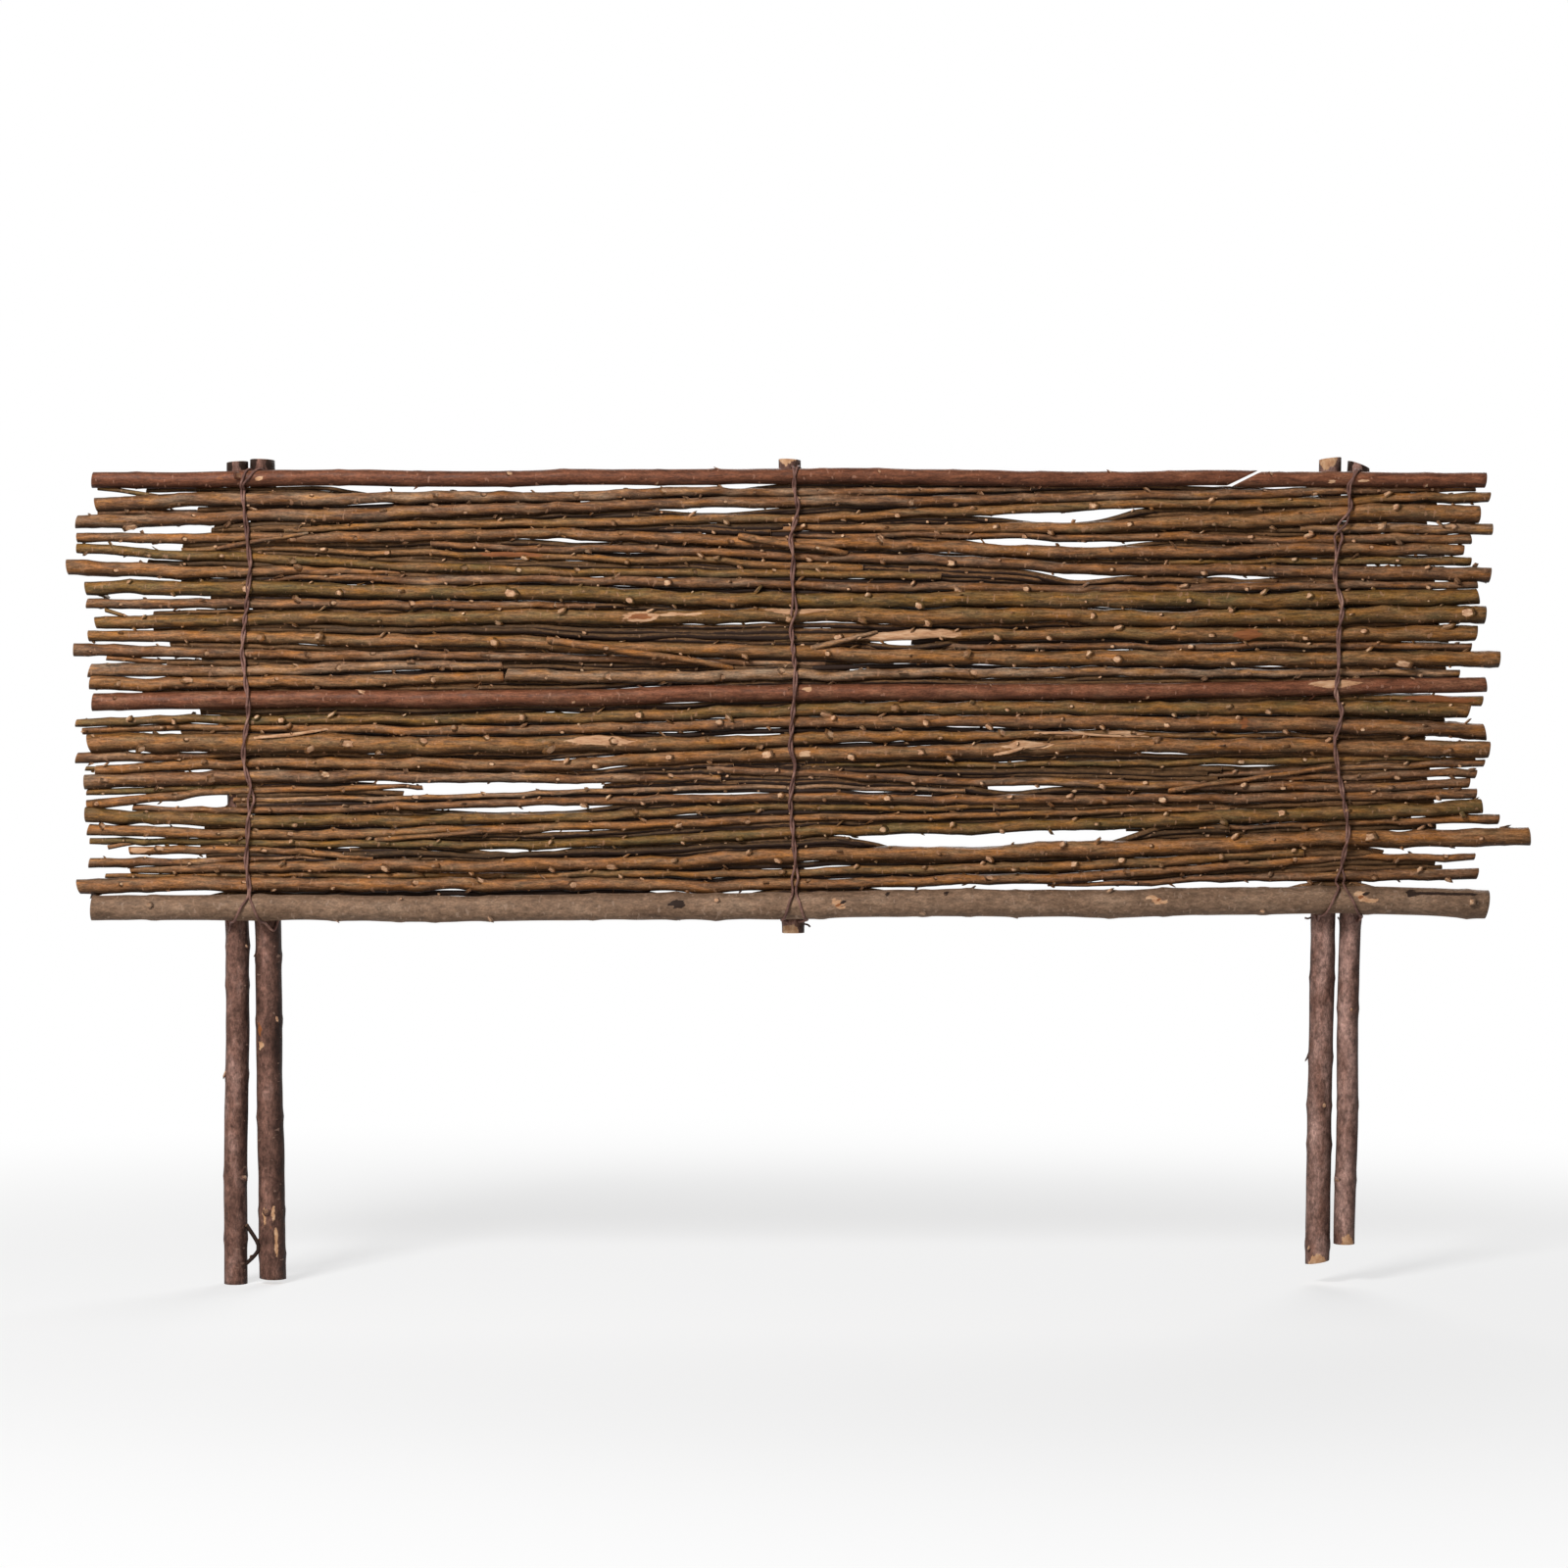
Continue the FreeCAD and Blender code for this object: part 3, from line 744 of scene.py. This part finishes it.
def dress_rod(node, number):
    rng = generator(1, number)
    stick = Stick([node], X)
    shell = Shell(rng.uniform(0.05, 0.95))
    slants = rng.uniform(-0.3, 0.3, 2)
    marks = MARKS.get(node, ())
    stick.follow(*grow_lying(shell, rng, stick, stick.start, stick.end, ROD_GROWTH, slants, marks))
    shell.piece(f"{node}_bark", rod_bark, "rod_bark", node)
    return stick


def dress_rail(node, number, stick, start, end, slants, material, slot):
    rng = generator(2, number)
    shell = Shell(rng.uniform(0.3, 0.7))
    grow_lying(shell, rng, stick, start, end, RAIL_GROWTH, slants, MARKS.get(node, ()))
    shell.piece(f"{node}_bark", material, slot, node)


# Tone of each post's bark, from dark to light; the right outer post's is set lighter partly as painted
# light, against the shadow the inner post casts on it
POST_TONES = {"post_left_outer": 0.5, "post_left_inner": 0.32, "post_middle": 0.5, "post_right_inner": 0.72,
              "post_right_outer": 0.8}
# Tops that were cut aslant, upwards to the left
TOP_SLANTS = {"post_right_outer": 0.35}


def dress_post(node, number):
    rng = generator(3, number)
    stick = Stick([node], Z)
    shell = Shell(POST_TONES[node])
    places = np.linspace(stick.start, stick.end, int((stick.end - stick.start) / RING_STEP) + 1)
    path, radii = stick.at(places)
    path[:, X] += wander(rng, places, 90.0, POST_GROWTH.sway)
    slants = rng.uniform(-0.2, 0.2, 2)
    slants[1] = TOP_SLANTS.get(node, slants[1])
    grow(shell, rng, places, path, radii, POST_GROWTH, slants, MARKS.get(node, ()))
    shell.piece(f"{node}_bark", post_bark, "post_bark", node)
    return stick


rods = {}
for number, node in enumerate(sorted(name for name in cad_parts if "_rod_" in name)):
    rods[node] = dress_rod(node, number)

top = Stick(["top_rail", "top_rail_end"], X)
middle = Stick(["middle_rail"], X)
bottom = Stick(["bottom_rail"], X)
splice = (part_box("top_rail")[1].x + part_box("top_rail_end")[0].x) / 2 / MILLIMETRE
left_part = (top.start, splice - SPLICE_HALF)
right_part = (splice + SPLICE_HALF, top.end)
dress_rail("top_rail", 1, top, *left_part, (0.1, SPLICE_SLANT), rail_bark, "rail_bark")
dress_rail("top_rail_end", 2, top, *right_part, (SPLICE_SLANT, 0.1), rail_bark, "rail_bark")
dress_rail("middle_rail", 3, middle, middle.start, middle.end, (0.1, -0.1), rail_bark, "rail_bark")
dress_rail("bottom_rail", 4, bottom, bottom.start, bottom.end, (0.05, 0.1), bottom_bark, "bottom_rail_bark")

posts = {}
for number, node in enumerate(sorted(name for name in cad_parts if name.startswith("post_"))):
    posts[node] = dress_post(node, number)


# Twigs in the crevices behind the rods; their darker bark and dark marks also paint the shade in the
# crevices

def crevices(sticks):
    """Stretches where two neighbours leave a gap: places, lower edge, height and the two neighbours."""
    places = np.arange(*TWIG_REACH, RING_STEP)
    runs = {}
    for x in places:
        present = [stick for stick in sticks if stick.reaches(x)]
        levels = [stick.at(np.array([x])) for stick in present]
        heights = [(centre[0, Z], radius[0]) for centre, radius in levels]
        order = sorted(range(len(present)), key=lambda i: -heights[i][0])
        for upper, lower in zip(order, order[1:]):
            bottom_edge = heights[lower][0] + heights[lower][1]
            gap = heights[upper][0] - heights[upper][1] - bottom_edge
            if gap > TIGHT:
                key = (id(present[upper]), id(present[lower]))
                run = runs.setdefault(key, [[]])
                if run[-1] and x - run[-1][-1][0] > 6.0:
                    run.append([])
                run[-1].append((x, bottom_edge, gap, present[upper], present[lower]))
    return [run for parts in runs.values() for run in parts if len(run) > 4]


def openness(places, levels):
    """1 where a crevice shows the background, 0 where it is filled, with slow changes between."""
    share = np.zeros(len(places))
    for start, end, low, high, open_share in OPENINGS:
        ease = min(45.0, 0.4 * (end - start))
        inside = np.clip(np.minimum(places - start, end - places) / ease, 0, 1)
        inside = open_share * inside * inside * (3 - 2 * inside)
        share = np.maximum(share, np.where((levels > low) & (levels < high), inside, 0.0))
    return np.convolve(np.pad(share, 4, "edge"), np.ones(9) / 9, "valid")


def clear_depth(stick, path, radius):
    """How far back a twig has to lie to clear a stick in front of it."""
    centre, stick_radius = stick.at(path[:, X])
    across = path[:, Z] - centre[:, Z]
    return centre[:, Y] + np.sqrt(np.maximum((stick_radius + radius) ** 2 - across ** 2, 0.0))


# Twigs in crevices narrower than this get painted shade on their front, others get it only underneath; less
# of it towards the ends
NARROW = 3.6
FRONT_PAINTED_SHADE = Mark("dark", -520, 520, 0, 150)
UNDERSIDE_PAINTED_SHADE = Mark("dark", -520, 520, -80, 105)


def add_twig(shell, rng, places, level, radius, neighbours, marks):
    """A thin twig at a level, close behind its neighbours and in front of the posts."""
    path = np.stack([places, np.zeros(len(places)), level], -1)
    path[:, Z] += wander(rng, places, 50.0, TWIG_GROWTH.sway)
    depth = np.max([clear_depth(stick, path, radius) for stick in neighbours], axis=0)
    free = calm_at_posts(places)
    path[:, Y] = free * depth + (1 - free) * np.minimum(depth, -radius - 0.1)
    shell.tone = rng.uniform(0.0, 1.0)
    radii = radius * np.linspace(1.1, 0.8, len(places))[::rng.choice((-1, 1))]
    grow(shell, rng, places, path, radii, TWIG_GROWTH, rng.uniform(-0.3, 0.3, 2), marks)


def back_up_ends(shell, rng, sticks):
    """A twig behind each rod end inside the hurdle, so that the next rod seems to run on there."""
    for stick in sticks:
        for end, way in ((stick.start, -1), (stick.end, 1)):
            if TWIG_INNER[0] < end < TWIG_INNER[1]:
                reach = sorted((end - way * 40.0, end + way * 60.0))
                places = np.arange(*reach, RING_STEP)
                centre, radii = stick.at(np.clip(places, stick.start, stick.end))
                if openness(places, centre[:, Z]).max() > 0.2:
                    continue
                near = [other for other in sticks if other.reaches(end + way * 30.0) or other is stick]
                level = np.interp(end, places, centre[:, Z])
                near = sorted(near, key=lambda other: abs(other.at(np.array([end]))[0][0, Z] - level))[:3]
                add_twig(shell, rng, places, centre[:, Z], max(radii.max() * 0.8, 1.5), near, ())


def dress_crevices(name, number, sticks):
    rng = generator(5, number)
    shell = Shell(0.3)
    back_up_ends(shell, rng, sticks)
    for run in crevices(sticks):
        xs, edges, gaps = (np.array([sample[i] for sample in run]) for i in range(3))
        wide = np.percentile(gaps, 85)
        if wide < 0.0:
            continue
        count = math.ceil(wide / TWIG_FILL)
        for k in range(count):
            radius = np.clip(wide / (2 * count) + 1.0, *TWIG_RADII)
            tucks = TWIG_TUCK * rng.uniform(0.8, 1.3, 2)
            if xs[0] > TWIG_INNER[0]:
                start = xs[0] - tucks[0]
            else:
                start = max(xs[0], TWIG_INNER[0] - rng.uniform(8.0, 80.0))
            end = xs[-1] + (tucks[1] if xs[-1] < TWIG_INNER[1] else -rng.uniform(0.0, 20.0))
            if end < TWIG_INNER[0] + 20.0:
                continue
            places = np.arange(start, end, 1.3 * RING_STEP)
            level = np.interp(places, xs, edges + gaps * (k + 0.5) / count)
            behind = run[0][4].at(places)[0][:, Z]
            away = openness(places, np.interp(places, xs, edges + gaps / 2))
            level += away * (behind - level)
            closed = np.where(away < 0.5)[0]
            if len(closed) < 6:
                continue
            kept = slice(closed[0], closed[-1] + 1)
            places, level = places[kept], level[kept]
            # Painted shade on the twig: on its front in a narrow crevice, on its underside in a wide one
            marks = [FRONT_PAINTED_SHADE if wide < NARROW else UNDERSIDE_PAINTED_SHADE]
            add_twig(shell, rng, places, level, radius, run[0][3:], marks)
    shell.piece(name, twig_bark_and_shade, "rod_bark")


upper_rods = [stick for node, stick in rods.items() if node.startswith("upper")]
lower_rods = [stick for node, stick in rods.items() if node.startswith("lower")]
dress_crevices("upper_crevice_twigs", 1, [top, *upper_rods, middle])
dress_crevices("lower_crevice_twigs", 2, [middle, *lower_rods, bottom])


# Loose twigs

crossing = []


def smooth_curve(points, step):
    """A curve through the points, sampled about every step."""
    points = np.asarray(points, float)
    padded = np.concatenate([[2 * points[0] - points[1]], points, [2 * points[-1] - points[-2]]])
    samples = []
    for i in range(len(points) - 1):
        before, here, after, beyond = padded[i:i + 4]
        count = max(2, int(np.linalg.norm(after - here) / step))
        t = np.linspace(0, 1, count, endpoint=False)[:, None]
        samples.append(between(before, here, after, beyond, t))
    return np.concatenate(samples + [points[-1:]])


def front_depth(xs, heights, radius):
    """How far in front of the posts the middle of a wire or twig lies that rests on the sticks' fronts."""
    depth = np.zeros(len(xs))
    for stick in [top, middle, bottom, *rods.values(), *crossing]:
        centre, stick_radius = stick.at(xs)
        rise = (stick_radius + radius) ** 2 - (heights - centre[:, Z]) ** 2
        touching = (rise > 0) & (xs >= stick.start) & (xs <= stick.end)
        depth = np.maximum(depth, np.where(touching, np.sqrt(np.maximum(rise, 0)) - centre[:, Y], 0))
    return depth


def taut(depth, travel, span):
    """The same line pulled tight, so that it dips less between the sticks it rests on."""
    bridged = np.array([depth[np.abs(travel - place) < span].max() for place in travel])
    line = np.maximum(depth, 0.55 * bridged + 0.45 * depth)
    return np.convolve(np.pad(line, 2, "edge"), np.ones(5) / 5, "valid")


Twig = namedtuple("Twig", "points thick thin marks", defaults=((),))
# Short free ends at the left of the hurdle, and a stub between the left legs.
# Their points run from left to right or upwards.
FREE_TWIGS = (
    Twig(((-569, -5, 334), (-540, -5, 334.5), (-505, 0, 333.5), (-478, 5, 333)), 3.4, 2.8),
    Twig(((-569, -5, 353.5), (-545, -6, 351), (-515, -5, 346.5)), 2.2, 1.6),
    Twig(((-563, -7, 253.6), (-551, -7, 250), (-539, -6, 246.6), (-500, -4, 245)), 1.8, 1.4),
    Twig(((-562, -5, 214.4), (-540, -4, 213), (-515, 0, 212), (-480, 5, 212)), 2.4, 2.0),
    Twig(((-579, -6, 125), (-556, -5, 124.5), (-534, -1, 123), (-500, 4, 122)), 1.9, 1.6),
    Twig(((-561, -5, 60), (-537, -2, 64), (-505, 4, 64)), 2.0, 1.7),
    Twig(((-451, 6, -283), (-442, 5, -274), (-440, 5, -266), (-450, 6, -250)), 1.5, 1.8,
         (Mark("dark", -330, -230, 0, 175),)),
)
# Thin twigs lying across the front of the rods: start and end, each along and up, radius, whether peeled
CROSSING_TWIGS = (
    (306, 107, 446, 127, 2.2, False), (14, 224, 67, 236, 2.4, False), (163, 136, 210, 146, 1.4, True),
    (193, 154, 289, 150, 1.2, True), (-342, 66, -251, 74, 2.1, False), (-441, 150, -379, 157, 1.5, True),
    (-473, 304, -398, 317, 2.0, False), (-45, 314, 42, 299, 3.0, False), (-201, 229, -51, 208, 3.0, False),
)
# The ends of crossing twigs are pushed in between the rods by this much, over this length
END_SINK = 4.0
SINK_LENGTH = 16.0


def dress_loose_twigs():
    rng = generator(6)
    shell = Shell(0.5)
    for twig in FREE_TWIGS:
        path = smooth_curve(twig.points, RING_STEP)
        places = path[:, np.argmax(np.ptp(path, axis=0))].copy()
        shell.tone = rng.uniform(0.1, 0.9)
        radii = np.linspace(twig.thick, twig.thin, len(path))
        grow(shell, rng, places, path, radii, LOOSE_GROWTH, rng.uniform(-0.4, 0.4, 2), twig.marks)
    for start, low, end, high, radius, peeled in CROSSING_TWIGS:
        places = np.linspace(start, end, int((end - start) / RING_STEP) + 2)
        level = np.linspace(low, high, len(places)) + wander(rng, places, 30.0, 0.5)
        depth = taut(front_depth(places, level, radius), places, TWIG_BRIDGE)
        inward = np.clip(1 - np.minimum(places - start, end - places) / SINK_LENGTH, 0, 1)
        path = np.stack([places, END_SINK * inward ** 2 - depth, level], -1)
        shell.tone = rng.uniform(0.4, 0.95)
        radii = radius * np.linspace(1.1, 0.8, len(places))
        marks = [Mark("peel", 1.2 * start - 0.2 * end, 1.2 * end - 0.2 * start, 20, 110)] if peeled else ()
        grow(shell, rng, places, path, radii, LOOSE_GROWTH, rng.uniform(-0.4, 0.4, 2), marks)
        crossing.append(Line(X, places, path, radii))
    shell.piece("loose_twigs", rod_bark, "rod_bark")


dress_loose_twigs()


# Wire

def wire_tube(shell, path, radius):
    """A round wire along any path, its rings carried along without twisting."""
    along = unit(np.gradient(path, axis=0))
    side = unit(np.cross(along[0], [0.3, 0.5, 0.8]))
    angles = np.arange(WIRE_SIDES) * 2 * math.pi / WIRE_SIDES
    rings = []
    for point, direction in zip(path, along):
        side = unit(side - (side @ direction) * direction)
        other = np.cross(side, direction)
        rings.append(point + radius * (np.cos(angles)[:, None] * side + np.sin(angles)[:, None] * other))
    shell.add_rings(np.array(rings), path[0] - along[0] * 0.3, path[-1] + along[-1] * 0.3)


def round_rail(rail, x_from, x_to, turns):
    """Points of a strand that goes round a rail's front, at turns from 0, front, to 90, top."""
    points = []
    for share, turn in zip(np.linspace(0, 1, len(turns)), np.radians(turns)):
        x = x_from + (x_to - x_from) * share
        centre, radius = rail.at(np.array([x]))
        reach = radius[0] + STRAND_RADIUS + RAIL_CLEARANCE
        points.append((x, centre[0, Y] - reach * math.cos(turn), centre[0, Z] + reach * math.sin(turn)))
    return points


def round_posts(column, side, front, back_height, rise):
    """Points of a strand that goes round the outermost post on one side and ends in a twist at the back."""
    near_by = [post.at(np.array([front])) for node, post in posts.items() if column in node]
    centre, radius = max(near_by, key=lambda post: side * post[0][0, X])
    clear = STRAND_RADIUS + POST_CLEARANCE
    reach = radius[0] + clear
    heights = np.interp(POST_TURNS, POST_TURNS[:2], (front, back_height))
    points = []
    for turn, z in zip(np.radians(POST_TURNS), heights):
        points.append((centre[0, X] + side * reach * math.cos(turn),
                       centre[0, Y] + reach * math.sin(turn), z))
    back = max(post_centre[0, Y] + post_radius[0] for post_centre, post_radius in near_by) + clear
    tail = COLUMNS[column] + WIRE_TAILS[column]
    for k in range(TAIL_POINTS):
        turn = side * math.pi / 2 + TAIL_TURN * k
        points.append((tail + STRAND_RADIUS * math.sin(turn),
                       back + STRAND_RADIUS * (1 + math.cos(turn)), back_height + rise * k))
    return points


def strand(column, side, course, depths, twist):
    """One strand: from behind the posts over the top rail, down the front and under the bottom rail."""
    which = 0 if side < 0 else 1
    heights, xs = course
    offset = np.full(len(heights), STRAND_RADIUS * 1.1)
    for height, extra in WIRE_GAPES[column]:
        offset += extra * np.exp(-((heights - height) / GAPE_LENGTH) ** 2)
    apart = STRAND_RADIUS * (1 + side * np.sin(twist))
    run = np.stack([xs + side * offset * np.cos(twist), -depths - apart, heights], -1)
    over = round_rail(top, run[0, X], run[0, X] + WIRE_OVER_TOP[column][which], TOP_TURNS)
    under = round_rail(bottom, run[-1, X], run[-1, X] + WIRE_UNDER_BOTTOM[column][which], BOTTOM_TURNS)
    highest = over[-1][Z] - BACK_DROP
    over_back = round_posts(column, side, highest, highest, -TAIL_STEP)
    lowest = under[-1][Z]
    under_back = round_posts(column, side, lowest - WIRE_DROPS[column], lowest + HIDDEN_RISE, TAIL_STEP)
    start = smooth_curve(over_back[::-1] + over[::-1] + [run[0]], WIRE_STEP)
    finish = smooth_curve([run[-1]] + under + under_back, WIRE_STEP)
    return np.concatenate([start[:-1], run, finish[1:]])


def dress_wire(column, number):
    rng = generator(4, number)
    shell = Shell(0.5)
    points = np.array(WIRE_COURSES[column], float)
    heights = np.arange(points[0, 0], points[-1, 0], -WIRE_STEP)
    offsets = np.interp(-heights, -points[:, 0], points[:, 1])
    kernel = np.ones(7) / 7
    offsets = np.convolve(np.pad(offsets, 3, "edge"), kernel, "valid")
    xs = COLUMNS[column] + offsets
    depths = taut(front_depth(xs, heights, STRAND_RADIUS), heights, WIRE_BRIDGE)
    twist = -heights * 2 * math.pi / TWIST_LENGTH + wander(rng, -heights, 30.0, 0.9)
    for side in (-1, 1):
        wire_tube(shell, strand(column, side, (heights, xs), depths, twist), STRAND_RADIUS)
    if WIRE_ENDS[column]:
        wire_tube(shell, smooth_curve(WIRE_ENDS[column], 1.0), WIRE_END_RADIUS)
    shell.piece(f"wire_{column}_strands", wire_coat, "wire", f"wire_{column}")


for number, column in enumerate(COLUMNS):
    dress_wire(column, number)


# Floor, light and camera

# Places and sizes are in metres
FLOOR_SIZE = 30.0
FLOOR_GREY = 0.82
# The floor's share of plain white: the distances it grows between, and the shares there
FLOOR_FADE = (0.5, 1.6, 0.62, 1.0)
AMBIENT = 0.05
CAMERA_PLACE = (-0.0088, -3.03, 0.112)
# Focal length and sensor width in millimetres
CAMERA_LENS = 85
CAMERA_SENSOR = 36
LAMP_TARGET = (0.0, 0.0, 0.1)
# Lamps: name, place, size and power in watts
LAMPS = (
    ("key", (-1.1, -2.0, 1.6), 0.8, 65),
    ("fill", (-0.6, -2.8, 0.5), 1.2, 4),
    ("rear", (0.6, 2.4, 1.5), 2.0, 56),
)


def white_to_camera(tree):
    """1 for rays of the camera, of reflections and through clear matter, which see plain white, else 0."""
    paths = tree.nodes.new("ShaderNodeLightPath")
    seen = paths.outputs["Is Camera Ray"]
    for name in ("Is Glossy Ray", "Is Transmission Ray"):
        highest = tree.nodes.new("ShaderNodeMath")
        highest.operation = "MAXIMUM"
        tree.links.new(seen, highest.inputs[0])
        tree.links.new(paths.outputs[name], highest.inputs[1])
        seen = highest.outputs[0]
    return seen


def make_floor(height):
    material = bpy.data.materials.new("pale_floor")
    material.use_nodes = True
    tree = material.node_tree
    lit = tree.nodes["Principled BSDF"]
    lit.inputs["Base Color"].default_value = (FLOOR_GREY, FLOOR_GREY, FLOOR_GREY, 1)
    lit.inputs["Roughness"].default_value = 0.9
    lit.inputs["Specular IOR Level"].default_value = 0.0
    white = tree.nodes.new("ShaderNodeEmission")
    seen = white_to_camera(tree)
    distance = tree.nodes.new("ShaderNodeVectorMath")
    distance.operation = "LENGTH"
    place = tree.nodes.new("ShaderNodeTexCoord")
    tree.links.new(place.outputs["Object"], distance.inputs[0])
    whiteness = tree.nodes.new("ShaderNodeMapRange")
    whiteness.interpolation_type = "SMOOTHSTEP"
    for name, value in zip(("From Min", "From Max", "To Min", "To Max"), FLOOR_FADE):
        whiteness.inputs[name].default_value = value
    tree.links.new(distance.outputs["Value"], whiteness.inputs["Value"])
    share = tree.nodes.new("ShaderNodeMath")
    share.operation = "MULTIPLY"
    tree.links.new(seen, share.inputs[0])
    tree.links.new(whiteness.outputs[0], share.inputs[1])
    mix = tree.nodes.new("ShaderNodeMixShader")
    tree.links.new(share.outputs[0], mix.inputs[0])
    tree.links.new(lit.outputs[0], mix.inputs[1])
    tree.links.new(white.outputs[0], mix.inputs[2])
    tree.links.new(mix.outputs[0], tree.nodes["Material Output"].inputs["Surface"])
    half = FLOOR_SIZE / 2
    corners = [(-half, -half, 0), (half, -half, 0), (half, half, 0), (-half, half, 0)]
    mesh = bpy.data.meshes.new("floor")
    mesh.from_pydata(corners, [], [(0, 1, 2, 3)])
    mesh.materials.append(material)
    floor = bpy.data.objects.new("floor", mesh)
    floor.location.z = height
    bpy.context.scene.collection.objects.link(floor)


def make_world():
    world = bpy.data.worlds.new("studio")
    world.use_nodes = True
    bpy.context.scene.world = world
    tree = world.node_tree
    background = tree.nodes["Background"]
    background.inputs["Color"].default_value = (1, 1, 1, 1)
    seen = white_to_camera(tree)
    strength = tree.nodes.new("ShaderNodeMapRange")
    strength.inputs["To Min"].default_value = AMBIENT
    strength.inputs["To Max"].default_value = 1.0
    tree.links.new(seen, strength.inputs["Value"])
    tree.links.new(strength.outputs[0], background.inputs["Strength"])


def make_lamp(name, place, target, size, power):
    lamp = bpy.data.lights.new(name, "AREA")
    lamp.shape = "DISK"
    lamp.size = size
    lamp.energy = power
    holder = bpy.data.objects.new(name, lamp)
    holder.location = place
    direction = Vector(target) - Vector(place)
    holder.rotation_euler = direction.to_track_quat("-Z", "Y").to_euler()
    bpy.context.scene.collection.objects.link(holder)


def make_camera():
    camera = bpy.data.cameras.new("camera")
    camera.lens = CAMERA_LENS
    camera.sensor_width = CAMERA_SENSOR
    holder = bpy.data.objects.new("camera", camera)
    holder.location = CAMERA_PLACE
    holder.rotation_euler = (math.radians(90), 0, 0)
    bpy.context.scene.collection.objects.link(holder)
    bpy.context.scene.camera = holder


make_floor(CAD_BOX[0].z)
make_world()
for lamp_name, lamp_place, lamp_size, lamp_power in LAMPS:
    make_lamp(lamp_name, lamp_place, LAMP_TARGET, lamp_size, lamp_power)
make_camera()
bpy.context.scene.view_settings.view_transform = "Standard"
